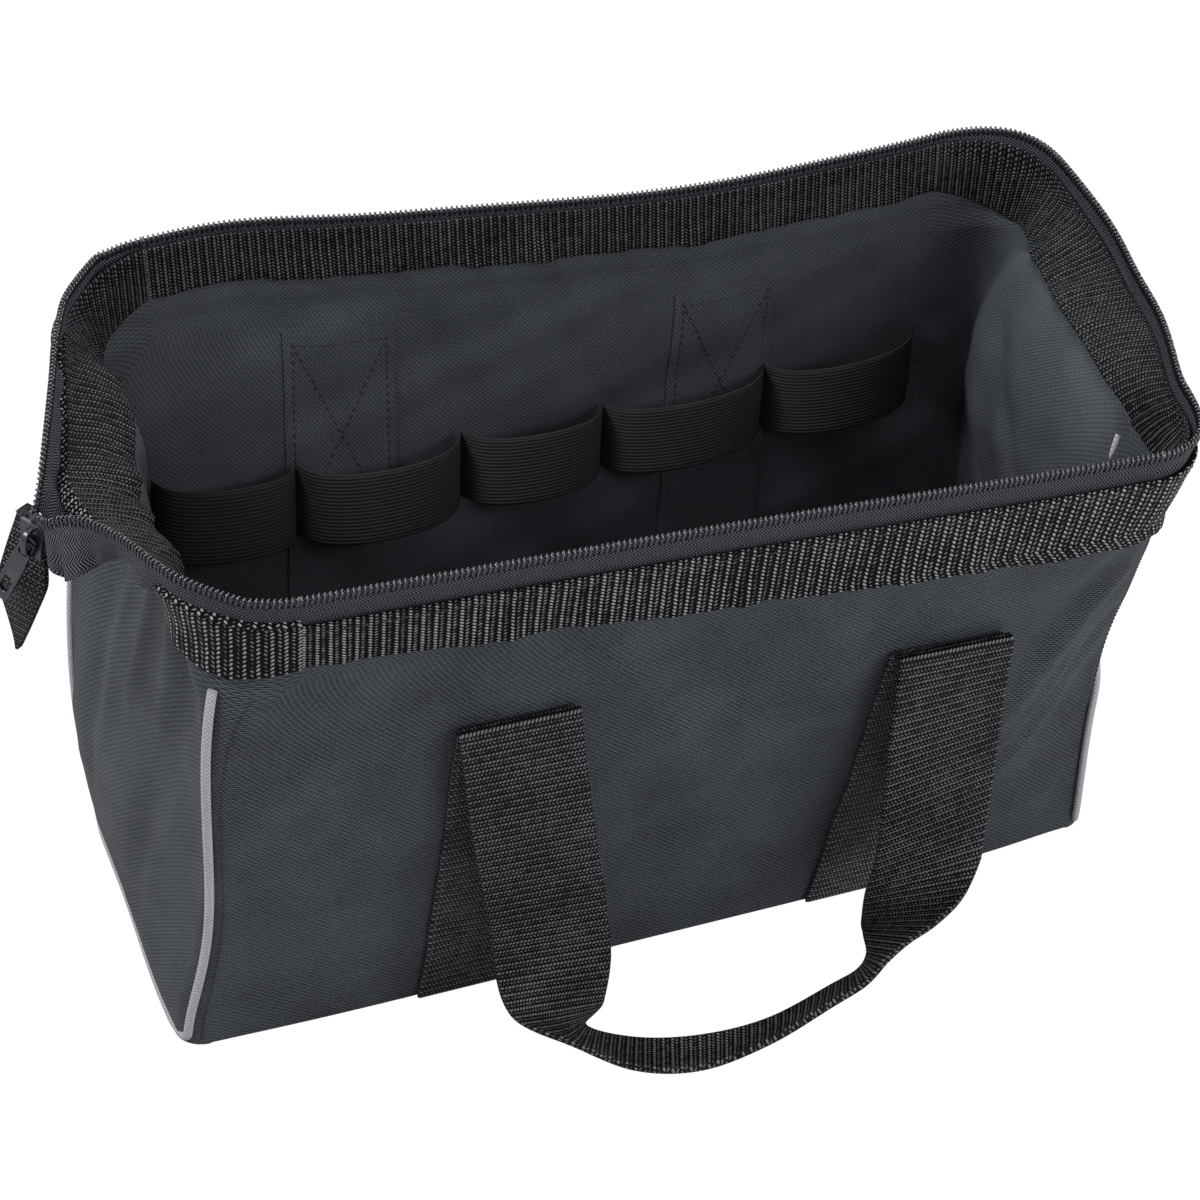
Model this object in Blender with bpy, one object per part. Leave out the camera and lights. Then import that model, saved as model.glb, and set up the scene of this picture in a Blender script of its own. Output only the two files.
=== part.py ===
"""Soft tool bag with a wide sprung mouth, built as separate pieces.

The long walls fold at their bottom edges, a wire frame stiffens each half of the mouth, and a
zip runs round the rim. Metres, +Z up, +Y away from the front. The origin is the middle of the
underside.
"""

import math

import bmesh
import bpy
from mathutils import Matrix, Vector

# Driving sizes of the bag
BAG_LENGTH = 0.328
BASE_DEPTH = 0.118
MOUTH_DEPTH = 0.188
RIM_HEIGHT = 0.208
BASE_CORNER = 0.008
RIM_CORNER = 0.032
CORNER_POWER = 8.0

# How far each soft end leans out, bows out and dips at the mouth
END_FLARE = {"left": 0.010, "right": 0.002}
END_BULGE = {"left": 0.012, "right": 0.006}
END_DIP = {"left": 0.017, "right": 0.004}
BULGE_POWER = 1.5
DIP_POWER = 2.0

# Cloth, board and clearances
GAP = 0.0003
PANEL_THICKNESS = 0.0024
BASE_THICKNESS = 0.0035
BOARD_THICKNESS = 0.0025
BOARD_INSET = 0.0011
WALL_FOOT = 0.0012

# Binding band round the mouth, folded over the frame wire
BAND_WIDTH = 0.025
BAND_LEAF = 0.0012
BAND_BELOW_RIM = 0.011
SEAM_BELOW_BAND_TOP = 0.0048
SEAM_HEIGHT = 0.0012
PANEL_BELOW_WIRE = 0.0008
END_PANEL_BELOW_WIRE = 0.008

# Frame wire
WIRE_DIAMETER = 0.0032
WIRE_SEAM_CLEARANCE = 0.0014
WIRE_ARM_REACH = 0.064
WIRE_SIDES = 10

# Zip
TAPE_THICKNESS = 0.0008
COIL_WIDTH = 0.0034
COIL_THICKNESS = 0.0022
COIL_CHAMFER = 0.0006

# Zip slider and its pull
SLIDER_LENGTH = 0.013
SLIDER_MOUTH_WIDTH = 0.009
SLIDER_REAR_WIDTH = 0.006
SLIDER_PLATE = 0.0012
SLIDER_SLOT = 0.0028
SLIDER_POST_LENGTH = 0.003
SLIDER_POST_WIDTH = 0.0024
CROWN_LENGTH = 0.0088
CROWN_RISE = 0.0041
CROWN_BAR = 0.0015
CROWN_WIDTH = 0.0024
PULL_LENGTH = 0.027
PULL_WIDTH = 0.0076
PULL_THICKNESS = 0.0014
PULL_STANDOFF = 0.0006
PULL_WINDOW_WIDTH = 0.0038
PULL_WINDOW_LENGTH = 0.0054
PULL_SLOT_WIDTH = 0.0034
PULL_SLOT_LENGTH = 0.008
SLIDER_REST = Vector((-0.201, -0.012, 0.180))

# Folded webbing tab at the tail of the zip
TAB_WIDTH = 0.026
TAB_LENGTH = 0.038
TAB_THICKNESS = 0.004
TAB_SHIFT = 0.004

# Webbing straps and handles
STRAP_WIDTH = 0.040
STRAP_THICKNESS = 0.0018
STRAP_CENTRE = 0.073
STRAP_FOLD_HEIGHT = 0.134
HANDLE_REACH = 0.038
HANDLE_STEPS = 40

# Patches behind the straps, and the elastic tool loops on the back wall
PATCH_WIDTH = 0.038
PATCH_THICKNESS = 0.0008
PATCH_BOTTOM = 0.020
PATCH_BELOW_BAND = 0.004
LOOP_HEIGHT = 0.025
LOOP_TOP = 0.126
LOOP_THICKNESS = 0.0014
LOOP_HALF_LENGTH = 0.140
LOOP_COUNT = 5
LOOP_BOW = 0.014
LOOP_STEPS = 8

# Piping round the end panels
PIPING_WIDTH = 0.0044
PIPING_RISE = 0.0030
PIPING_BELOW_BAND = 0.002

# Fineness of the curved ends and levels up the walls
ARC_STEPS = 6
END_STEPS = 10
WALL_LEVELS = 7
LEVEL_POWER = 1.5

# Shares of the handle's half width, reach and fold height, from the fold to the middle of the
# loop: sideways, outwards, up, and how far the webbing has turned from facing out to facing up
HANDLE_ROUTE_SHARES = (
    (1.00, 0.000, 1.000, 0.00),
    (0.96, 0.040, 0.800, 0.00),
    (0.91, 0.070, 0.580, 0.00),
    (0.86, 0.120, 0.370, 0.04),
    (0.79, 0.240, 0.210, 0.22),
    (0.65, 0.520, 0.120, 0.60),
    (0.43, 0.810, 0.094, 0.90),
    (0.18, 0.970, 0.092, 1.00),
    (0.00, 1.000, 0.092, 1.00),
)
HANDLE_TILT_DEGREES = 32.0

# Shares of the way from the mouth's corner to the slider for the loose zip ends: how far
# outwards, how far along the end, and how far down to the slider
FRONT_TAIL_SHARES = ((0.34, 0.30, 0.06), (0.62, 0.55, 0.22), (0.88, 0.82, 0.58), (1.00, 1.00, 1.00))
BACK_TAIL_SHARES = ((0.26, 0.34, 0.05), (0.48, 0.62, 0.20), (0.78, 0.88, 0.55), (1.00, 1.00, 1.00))
TAIL_TAPE_DEPTHS = (0.0056, 0.0066, 0.0060)
TAIL_STEPS = 2

# Corner numbers of the faces that close the two band sections
WALL_BAND_CAPS = ((0, 1, 2), (0, 2, 3), (0, 3, 10), (0, 10, 11), (3, 4, 9, 10),
                  (6, 7, 8), (6, 8, 9), (6, 9, 4), (6, 4, 5))
END_BAND_CAPS = ((0, 1, 2), (0, 2, 3), (0, 3, 8), (0, 8, 9), (4, 5, 6), (4, 6, 7), (4, 7, 8), (4, 8, 3))

FRONT = -1
BACK = 1
ENDS = {"left": -1, "right": 1}

# Heights and offsets worked out from the sizes above
FOLD_HEIGHT = BASE_THICKNESS
LEAN = (MOUTH_DEPTH - BASE_DEPTH) / 2 / (RIM_HEIGHT - FOLD_HEIGHT)
LEAN_ANGLE = math.atan(LEAN)
MID_OFFSET = -PANEL_THICKNESS / 2
SLEEVE_HALF = WIRE_DIAMETER / 2 + GAP
OUTER_LEAF = (MID_OFFSET + SLEEVE_HALF, MID_OFFSET + SLEEVE_HALF + BAND_LEAF)
INNER_LEAF = (MID_OFFSET - SLEEVE_HALF, MID_OFFSET - SLEEVE_HALF - BAND_LEAF)
BAND_TOP = RIM_HEIGHT - BAND_BELOW_RIM
BAND_BOTTOM = BAND_TOP - BAND_WIDTH
SEAM_TOP = BAND_TOP - SEAM_BELOW_BAND_TOP
SEAM_BOTTOM = SEAM_TOP - SEAM_HEIGHT
WIRE_HEIGHT = SEAM_BOTTOM - WIRE_SEAM_CLEARANCE - WIRE_DIAMETER / 2
WALL_PANEL_TOP = WIRE_HEIGHT - WIRE_DIAMETER / 2 - PANEL_BELOW_WIRE
END_PANEL_TOP = WIRE_HEIGHT - WIRE_DIAMETER / 2 - END_PANEL_BELOW_WIRE
COIL_BOTTOM = RIM_HEIGHT - COIL_WIDTH
STRAP_OUTER = GAP + STRAP_THICKNESS
HANDLE_OFFSET = STRAP_OUTER + GAP + STRAP_THICKNESS / 2


def material(name, colour, roughness, metallic=0.0):
    """Make one surface material with its colour, roughness and metallic value."""
    finish = bpy.data.materials.new(name)
    finish.use_nodes = True
    shader = finish.node_tree.nodes["Principled BSDF"]
    shader.inputs["Base Color"].default_value = (*colour, 1.0)
    shader.inputs["Roughness"].default_value = roughness
    shader.inputs["Metallic"].default_value = metallic
    return finish


def place(name, mesh, finish, pivot=None):
    """Put a mesh in the scene as a named object, with its origin on its pivot."""
    if pivot is not None:
        mesh.transform(Matrix.Translation(-Vector(pivot)))
    mesh.materials.append(finish)
    piece = bpy.data.objects.new(name, mesh)
    bpy.context.scene.collection.objects.link(piece)
    if pivot is not None:
        piece.location = pivot
    return piece


def strip_caps(count):
    """List the quads that cap a thin slab, whose two long edges mirror each other."""
    return [(low, low + 1, count - 2 - low, count - 1 - low) for low in range(count // 2 - 1)]


def ring_mesh(name, rings, caps=None):
    """Skin a closed solid through rings of points, and cap each end with the listed faces."""
    shape = bmesh.new()
    rows = [[shape.verts.new(point) for point in ring] for ring in rings]
    count = len(rings[0])
    for row, following in zip(rows, rows[1:]):
        for index in range(count):
            after = (index + 1) % count
            shape.faces.new((row[index], row[after], following[after], following[index]))
    for row in (rows[0], rows[-1]):
        for face in caps or [range(count)]:
            shape.faces.new([row[index] for index in face])
    bmesh.ops.triangulate(shape, faces=shape.faces)
    bmesh.ops.recalc_face_normals(shape, faces=shape.faces)
    mesh = bpy.data.meshes.new(name)
    shape.to_mesh(mesh)
    shape.free()
    return mesh


def levels(low, high):
    """List heights from low to high, on shared steps that get closer towards the band."""
    shared = [BAND_BOTTOM * (1 - (1 - step / WALL_LEVELS) ** LEVEL_POWER) for step in range(WALL_LEVELS + 1)]
    return [low, *(height for height in shared if low < height < high), high]


def half_depth(height):
    """Give the distance from the middle to the outer face of a long wall."""
    return BASE_DEPTH / 2 + (height - FOLD_HEIGHT) * LEAN


def corner_radius(height):
    """Give the plan radius of the bag's corners, which open out up to the band."""
    share = min(1.0, height / BAND_BOTTOM)
    return BASE_CORNER + (RIM_CORNER - BASE_CORNER) * share ** CORNER_POWER


def half_length(height, end):
    """Give the distance from the middle to the outer face of one end at its corners."""
    return BAG_LENGTH / 2 + END_FLARE[end] * height / RIM_HEIGHT


def wall_end(height, end):
    """Give the x of a long wall's edge, where its end's corner begins."""
    return ENDS[end] * (half_length(height, end) - corner_radius(height) - GAP / 2)


def wall_point(share, height, offset, side):
    """Give a point of a long wall: share 0 is its left edge and 1 its right edge."""
    left = wall_end(height, "left")
    right = wall_end(height, "right")
    return Vector((left + (right - left) * share, side * (half_depth(height) + offset), height))


def end_point(step, height, offset, end):
    """Give a point round one end, from its front corner (step 0) to its back corner."""
    sign = ENDS[end]
    radius = corner_radius(height)
    length = half_length(height, end)
    depth = half_depth(height)
    last = 2 * ARC_STEPS + END_STEPS
    side = FRONT if step * 2 <= last else BACK
    from_corner = min(step, last - step)
    if from_corner == 0:
        start = sign * (length - radius + GAP / 2)
        return Vector((start, side * (depth + offset), height))
    if from_corner <= ARC_STEPS:
        angle = math.pi / 2 * from_corner / ARC_STEPS
        across = length - radius + (radius + offset) * math.sin(angle)
        along = depth - radius + (radius + offset) * math.cos(angle)
        return Vector((sign * across, side * along, height))
    straight = depth - radius
    along = straight * (2 * (step - ARC_STEPS) / END_STEPS - 1)
    crest = math.cos(math.pi / 2 * along / straight) ** 2
    bulge = END_BULGE[end] * (height / RIM_HEIGHT) ** BULGE_POWER * crest
    dip = END_DIP[end] * (height / RIM_HEIGHT) ** DIP_POWER * crest
    return Vector((sign * (length + offset + bulge), along, height - dip))


def slab_profile(outer, inner, heights):
    """Outline an upright slab between two offsets as (offset, height) pairs."""
    return [(outer, height) for height in heights] + [(inner, height) for height in reversed(heights)]


def wall_solid(name, profile, side, caps=None):
    """Make a solid that runs the length of a long wall with one (offset, height) profile."""
    rings = [[wall_point(share, height, offset, side) for offset, height in profile] for share in (0.0, 1.0)]
    return ring_mesh(name, rings, caps or strip_caps(len(profile)))


def strip_solid(name, profile, side, centre, width):
    """Make an upright strip of one width on a long wall."""
    rings = []
    for x in (centre - width / 2, centre + width / 2):
        rings.append([Vector((x, side * (half_depth(height) + offset), height)) for offset, height in profile])
    return ring_mesh(name, rings)


def end_solid(name, profile, end, first=0, last=2 * ARC_STEPS + END_STEPS, middle_gap=0.0, caps=None):
    """Make a solid that follows the plan of one end, between two steps."""
    rings = []
    for step in range(first, last + 1):
        ring = [end_point(step, height, offset, end) for offset, height in profile]
        if middle_gap and step * 2 == 2 * ARC_STEPS + END_STEPS:
            shift = Vector((0, middle_gap if step == first else -middle_gap, 0))
            ring = [point + shift for point in ring]
        rings.append(ring)
    return ring_mesh(name, rings, caps or strip_caps(len(profile)))


def smooth_route(points, steps):
    """Read evenly spaced points from a smooth curve through the given points."""
    padded = [2 * points[0] - points[1], *points, 2 * points[-1] - points[-2]]
    route = []
    for index in range(steps + 1):
        place_along = index / steps * (len(points) - 1)
        segment = min(int(place_along), len(points) - 2)
        share = place_along - segment
        before, start, finish, after = padded[segment:segment + 4]
        route.append(
            0.5 * (2 * start + (finish - before) * share
                   + (2 * before - 5 * start + 4 * finish - after) * share ** 2
                   + (3 * start - before - 3 * finish + after) * share ** 3)
        )
    return route


def tangents(route):
    """Give the unit direction of a route at each of its points."""
    found = []
    for index in range(len(route)):
        before = route[max(index - 1, 0)]
        after = route[min(index + 1, len(route) - 1)]
        found.append((after - before).normalized())
    return found


def route_solid(name, route, profile, scales=None):
    """Sweep an (across, up) profile along a route, upright wherever the route allows."""
    rings = []
    for index, (centre, along) in enumerate(zip(route, tangents(route))):
        up = (Vector((0, 0, 1)) - along * along.z).normalized()
        across = up.cross(along)
        scale = scales[index] if scales else 1.0
        rings.append([centre + across * sideways + up * rise * scale for sideways, rise in profile])
    return ring_mesh(name, rings)


def outline_solid(name, outline, thickness):
    """Extrude a flat (x, y) outline upwards from z 0."""
    low = [Vector((x, y, 0)) for x, y in outline]
    high = [Vector((x, y, thickness)) for x, y in outline]
    return ring_mesh(name, [low, high])


def box_mesh(name, low, high):
    """Make a box between two corners."""
    outline = [(low[0], low[1]), (high[0], low[1]), (high[0], high[1]), (low[0], high[1])]
    mesh = outline_solid(name, outline, high[2] - low[2])
    mesh.transform(Matrix.Translation((0, 0, low[2])))
    return mesh


def combine(piece, meshes, operation):
    """Join meshes to a piece, or cut them from it, and keep the result as its mesh."""
    for index, mesh in enumerate(meshes):
        helper = bpy.data.objects.new(f"{piece.name}_helper_{index}", mesh)
        helper.hide_render = True
        helper.display_type = "WIRE"
        helper.matrix_world = Matrix.Translation(piece.location)
        bpy.context.scene.collection.objects.link(helper)
        joint = piece.modifiers.new(f"{operation.lower()}_{index}", "BOOLEAN")
        joint.operation = operation
        joint.object = helper
    bpy.context.view_layer.update()
    evaluated = piece.evaluated_get(bpy.context.evaluated_depsgraph_get())
    result = bpy.data.meshes.new_from_object(evaluated)
    for modifier in list(piece.modifiers):
        helper = modifier.object
        piece.modifiers.remove(modifier)
        bpy.data.objects.remove(helper, do_unlink=True)
    piece.data = result
    return piece


def rounded_outline(half_x, half_y, radius):
    """Outline a rectangle with round corners."""
    points = []
    for quarter, (sign_x, sign_y) in enumerate(((1, 1), (-1, 1), (-1, -1), (1, -1))):
        for step in range(ARC_STEPS + 1):
            angle = math.pi / 2 * (quarter + step / ARC_STEPS)
            x = sign_x * (half_x - radius) + radius * math.cos(angle)
            y = sign_y * (half_y - radius) + radius * math.sin(angle)
            points.append((x, y))
    return points


def base(finishes):
    """Build the base: its cloth panel, its board and the two straps that pass under it."""
    half_x = BAG_LENGTH / 2 - PANEL_THICKNESS - GAP
    half_y = half_depth(0) - PANEL_THICKNESS - GAP
    radius = BASE_CORNER - PANEL_THICKNESS
    panel = place("base_panel", outline_solid("base_panel", rounded_outline(half_x, half_y, radius),
                                              BASE_THICKNESS), finishes["cloth"])
    channels = []
    for end, sign in ENDS.items():
        reach = STRAP_WIDTH / 2 + GAP
        low = (sign * STRAP_CENTRE - reach, -half_y - GAP, -GAP)
        high = (sign * STRAP_CENTRE + reach, half_y + GAP, STRAP_THICKNESS + GAP)
        channels.append(box_mesh(f"{end}_channel", low, high))
        strap = box_mesh(f"{end}_strap",
                         (sign * STRAP_CENTRE - STRAP_WIDTH / 2, -half_y, 0),
                         (sign * STRAP_CENTRE + STRAP_WIDTH / 2, half_y, STRAP_THICKNESS))
        place(f"base_{end}_strap", strap, finishes["webbing"])
    combine(panel, channels, "DIFFERENCE")
    board_outline = rounded_outline(half_x - BOARD_INSET, half_y - BOARD_INSET, radius)
    board = outline_solid("base_board", board_outline, BOARD_THICKNESS)
    board.transform(Matrix.Translation((0, 0, BASE_THICKNESS + GAP)))
    place("base_board", board, finishes["board"])


def end_panels(finishes):
    """Build the two end panels, each with its piping and the band that binds its top."""
    heights = levels(0.0, END_PANEL_TOP)
    band = [
        (OUTER_LEAF[1], BAND_BOTTOM), (OUTER_LEAF[1], BAND_TOP), (OUTER_LEAF[0], BAND_TOP),
        (OUTER_LEAF[0], SEAM_TOP), (INNER_LEAF[0], SEAM_TOP), (INNER_LEAF[0], BAND_TOP),
        (INNER_LEAF[1], BAND_TOP), (INNER_LEAF[1], SEAM_BOTTOM), (OUTER_LEAF[0], SEAM_BOTTOM),
        (OUTER_LEAF[0], BAND_BOTTOM),
    ]
    for end in ENDS:
        panel = slab_profile(0.0, -PANEL_THICKNESS, heights)
        place(f"{end}_end_panel", end_solid(f"{end}_end_panel", panel, end), finishes["cloth"])
        place(f"{end}_band_end", end_solid(f"{end}_band_end", band, end, caps=END_BAND_CAPS), finishes["band"])
        place(f"{end}_piping", piping(end), finishes["piping"])


def piping(end):
    """Run one length of piping down the front corner, along the foot and up the back corner."""
    offset = GAP + PIPING_RISE / 2
    corner = ARC_STEPS // 2
    last = 2 * ARC_STEPS + END_STEPS
    foot = PIPING_WIDTH / 2
    upright = levels(foot, BAND_BOTTOM - PIPING_BELOW_BAND)
    route = [end_point(corner, height, offset, end) for height in reversed(upright)]
    route += [end_point(step, foot, offset, end) for step in range(corner + 1, last - corner)]
    route += [end_point(last - corner, height, offset, end) for height in upright]
    rings = []
    for centre, along in zip(route, tangents(route)):
        outwards = Vector((centre.x - ENDS[end] * (BAG_LENGTH / 2 - RIM_CORNER), centre.y * 0.35, 0))
        outwards = (outwards - along * outwards.dot(along)).normalized()
        across = along.cross(outwards)
        ring = []
        for sector in range(8):
            angle = math.tau * (sector + 0.5) / 8
            ring.append(centre + across * (PIPING_WIDTH / 2 * math.cos(angle))
                        + outwards * (PIPING_RISE / 2 * math.sin(angle)))
        rings.append(ring)
    return ring_mesh(f"{end}_piping", rings)


def coil_profile(low):
    """Outline the zip coil as a bar with its long edges taken off."""
    high = low + COIL_WIDTH
    half = COIL_THICKNESS / 2
    cut = COIL_CHAMFER
    return [
        (MID_OFFSET + half - cut, low), (MID_OFFSET + half, low + cut), (MID_OFFSET + half, high - cut),
        (MID_OFFSET + half - cut, high), (MID_OFFSET - half + cut, high), (MID_OFFSET - half, high - cut),
        (MID_OFFSET - half, low + cut), (MID_OFFSET - half + cut, low),
    ]


def tape_profile():
    """Outline the zip tape that stands between the band's leaves."""
    half = TAPE_THICKNESS / 2
    return slab_profile(MID_OFFSET + half, MID_OFFSET - half, [SEAM_TOP + GAP, COIL_BOTTOM - GAP])


def wall(name, side, finishes):
    """Build one long wall: panel, band, zip half, sewn straps and the patches behind them."""
    pivot = (0, side * BASE_DEPTH / 2, FOLD_HEIGHT)
    heights = levels(WALL_FOOT, WALL_PANEL_TOP)
    panel = slab_profile(0.0, -PANEL_THICKNESS, heights)
    place(f"{name}_panel", wall_solid(f"{name}_panel", panel, side), finishes["cloth"], pivot)
    band = [
        (OUTER_LEAF[1], BAND_BOTTOM), (OUTER_LEAF[1], BAND_TOP), (OUTER_LEAF[0], BAND_TOP),
        (OUTER_LEAF[0], SEAM_TOP), (INNER_LEAF[0], SEAM_TOP), (INNER_LEAF[0], BAND_TOP),
        (INNER_LEAF[1], BAND_TOP), (INNER_LEAF[1], BAND_BOTTOM), (INNER_LEAF[0], BAND_BOTTOM),
        (INNER_LEAF[0], SEAM_BOTTOM), (OUTER_LEAF[0], SEAM_BOTTOM), (OUTER_LEAF[0], BAND_BOTTOM),
    ]
    place(f"{name}_band", wall_solid(f"{name}_band", band, side, WALL_BAND_CAPS), finishes["band"], pivot)
    place(f"{name}_zip_tape", wall_solid(f"{name}_zip_tape", tape_profile(), side), finishes["tape"], pivot)
    coil = wall_solid(f"{name}_zip_coil", coil_profile(COIL_BOTTOM), side)
    place(f"{name}_zip_coil", coil, finishes["coil"], pivot)
    strap = slab_profile(STRAP_OUTER, GAP, [WALL_FOOT, STRAP_FOLD_HEIGHT])
    inner_face = -PANEL_THICKNESS - GAP
    patch = slab_profile(inner_face, inner_face - PATCH_THICKNESS, [PATCH_BOTTOM, BAND_BOTTOM - PATCH_BELOW_BAND])
    for end, sign in ENDS.items():
        centre = sign * STRAP_CENTRE
        sewn = strip_solid(f"{name}_{end}_strap", strap, side, centre, STRAP_WIDTH)
        place(f"{name}_{end}_strap", sewn, finishes["webbing"], pivot)
        backing = strip_solid(f"{name}_{end}_patch", patch, side, centre, PATCH_WIDTH)
        place(f"{name}_{end}_patch", backing, finishes["lining"], pivot)


def tool_loops(finishes):
    """Build the elastic band inside the back wall, sewn down at intervals so that it bows."""
    seat = -PANEL_THICKNESS - PATCH_THICKNESS - 2 * GAP
    rings = []
    steps = LOOP_COUNT * LOOP_STEPS
    for step in range(steps + 1):
        x = LOOP_HALF_LENGTH * (2 * step / steps - 1)
        bow = LOOP_BOW * math.sin(math.pi * step / LOOP_STEPS) ** 2
        ring = []
        for inward, height in ((0, LOOP_TOP - LOOP_HEIGHT), (0, LOOP_TOP),
                               (LOOP_THICKNESS, LOOP_TOP), (LOOP_THICKNESS, LOOP_TOP - LOOP_HEIGHT)):
            offset = seat - bow - inward
            ring.append(Vector((x, half_depth(height) + offset, height)))
        rings.append(ring)
    pivot = (0, BASE_DEPTH / 2, FOLD_HEIGHT)
    place("tool_loops", ring_mesh("tool_loops", rings), finishes["elastic"], pivot)


def frame_wire(name, side, finishes):
    """Bend one half of the mouth's frame: a long rod with an arm at each end."""
    y_long = side * (half_depth(WIRE_HEIGHT) + MID_OFFSET)
    route = []
    inset = -OUTER_LEAF[0] + 2 * WIRE_DIAMETER
    for end, sign in ENDS.items():
        arm_x = half_length(WIRE_HEIGHT, end) - inset
        bend = arm_x - abs(wall_end(BAND_BOTTOM, end))
        arc = []
        for step in range(ARC_STEPS + 1):
            angle = math.pi / 2 * step / ARC_STEPS
            x = arm_x - bend + bend * math.sin(angle)
            y = y_long - side * (bend - bend * math.cos(angle))
            arc.append(Vector((sign * x, y, WIRE_HEIGHT)))
        arc.append(Vector((sign * arm_x, y_long - side * WIRE_ARM_REACH, WIRE_HEIGHT)))
        route = [*reversed(arc)] if end == "left" else route + arc
    rings = []
    for centre, along in zip(route, tangents(route)):
        up = Vector((0, 0, 1))
        across = up.cross(along)
        ring = []
        for sector in range(WIRE_SIDES):
            angle = math.tau * sector / WIRE_SIDES
            ring.append(centre + (across * math.cos(angle) + up * math.sin(angle)) * WIRE_DIAMETER / 2)
        rings.append(ring)
    place(name, ring_mesh(name, rings), finishes["wire"], (0, y_long, WIRE_HEIGHT))


def handle(name, side, finishes):
    """Loop one webbing handle from fold to fold, hanging down the wall and out onto the floor."""
    top_y = half_depth(STRAP_FOLD_HEIGHT) + HANDLE_OFFSET
    tilt = math.radians(HANDLE_TILT_DEGREES)
    flat = Vector((0, -side * math.cos(tilt), -math.sin(tilt)))
    half = []
    for sideways, outwards, up, turn in HANDLE_ROUTE_SHARES:
        centre = Vector((-STRAP_CENTRE * sideways, side * (top_y + HANDLE_REACH * outwards),
                         STRAP_FOLD_HEIGHT * up))
        half.append((centre, Vector((1, 0, 0)).lerp(flat, turn).normalized()))
    mirror = [(Vector((-c.x, c.y, c.z)), Vector((-w.x, w.y, w.z))) for c, w in reversed(half[:-1])]
    route = smooth_route([centre for centre, _ in half + mirror], HANDLE_STEPS)
    widths = smooth_route([width for _, width in half] + [width for _, width in mirror], HANDLE_STEPS)
    directions = tangents(route)
    directions[0] = Vector((0, 0, -1))
    directions[-1] = Vector((0, 0, 1))
    rings = []
    for centre, along, width in zip(route, directions, widths):
        width = (width - along * width.dot(along)).normalized()
        thick = along.cross(width)
        corner_a = width * STRAP_WIDTH / 2
        corner_b = thick * STRAP_THICKNESS / 2
        rings.append([centre + corner_a + corner_b, centre - corner_a + corner_b,
                      centre - corner_a - corner_b, centre + corner_a - corner_b])
    pivot = (0, side * top_y, STRAP_FOLD_HEIGHT)
    place(name, ring_mesh(name, rings), finishes["webbing"], pivot)


def right_zip_ends(finishes):
    """Carry both halves of the zip round the right end to its middle."""
    middle = ARC_STEPS + END_STEPS // 2
    last = 2 * ARC_STEPS + END_STEPS
    for side_name, first, final in (("front", 0, middle), ("back", middle, last)):
        for part, profile, finish in (("tape", tape_profile(), "tape"), ("coil", coil_profile(COIL_BOTTOM), "coil")):
            name = f"{side_name}_{part}_right_end"
            place(name, end_solid(name, profile, "right", first, final, GAP / 2), finishes[finish])


def left_zip_tails(finishes):
    """Let both halves of the zip leave the band at the left end and meet at the slider."""
    height = RIM_HEIGHT - COIL_WIDTH / 2
    above_slider = SLIDER_REST + Vector((0, 0, SLIDER_LENGTH / 2 + COIL_WIDTH / 2 + GAP))
    below_coil = Vector((0, 0, -COIL_WIDTH / 2 - GAP))
    last = 2 * ARC_STEPS + END_STEPS
    half = COIL_THICKNESS / 2
    cut = COIL_CHAMFER
    rise = COIL_WIDTH / 2
    coil = [(half - cut, -rise), (half, -rise + cut), (half, rise - cut), (half - cut, rise),
            (-half + cut, rise), (-half, rise - cut), (-half, -rise + cut), (-half + cut, -rise)]
    for side_name, side, shares in (("front", FRONT, FRONT_TAIL_SHARES), ("back", BACK, BACK_TAIL_SHARES)):
        steps = [step if side == FRONT else last - step for step in range(ARC_STEPS)]
        tops = [end_point(step, height, MID_OFFSET, "left") for step in steps]
        start = tops[-1]
        target = above_slider + Vector((0, side * (half + GAP), 0))
        for outwards, along, down in shares:
            tops.append(Vector((start.x + (target.x - start.x) * outwards,
                                start.y + (target.y - start.y) * along,
                                start.z + (target.z - start.z) * down)))
        name = f"{side_name}_coil_left_end"
        route = smooth_route(tops, TAIL_STEPS * (len(tops) - 1))
        place(name, route_solid(name, route, coil), finishes["coil"])

        uppers = [end_point(step, COIL_BOTTOM - GAP, MID_OFFSET, "left") for step in steps]
        uppers += [point + below_coil for point in tops[ARC_STEPS:-1]]
        lowers = []
        for index, step in enumerate(steps):
            share = max(0.0, index / (ARC_STEPS - 1) * 2 - 1)
            low = SEAM_TOP + GAP + (BAND_TOP + 2 * GAP - SEAM_TOP) * share
            lowers.append(end_point(step, low, MID_OFFSET, "left"))
        lowers += [point - Vector((0, 0, depth)) for point, depth in zip(uppers[ARC_STEPS:], TAIL_TAPE_DEPTHS)]
        name = f"{side_name}_tape_left_end"
        place(name, ribbon_solid(name, uppers, lowers), finishes["tape"])


def ribbon_solid(name, uppers, lowers):
    """Make a thin ribbon between smooth curves through its upper and lower edge points."""
    steps = TAIL_STEPS * (len(uppers) - 1)
    upper_route = smooth_route(uppers, steps)
    lower_route = smooth_route(lowers, steps)
    rings = []
    for top, low, along in zip(upper_route, lower_route, tangents(upper_route)):
        across = (top - low).cross(along).normalized() * TAPE_THICKNESS / 2
        rings.append([top + across, top - across, low - across, low + across])
    return ring_mesh(name, rings)


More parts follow.
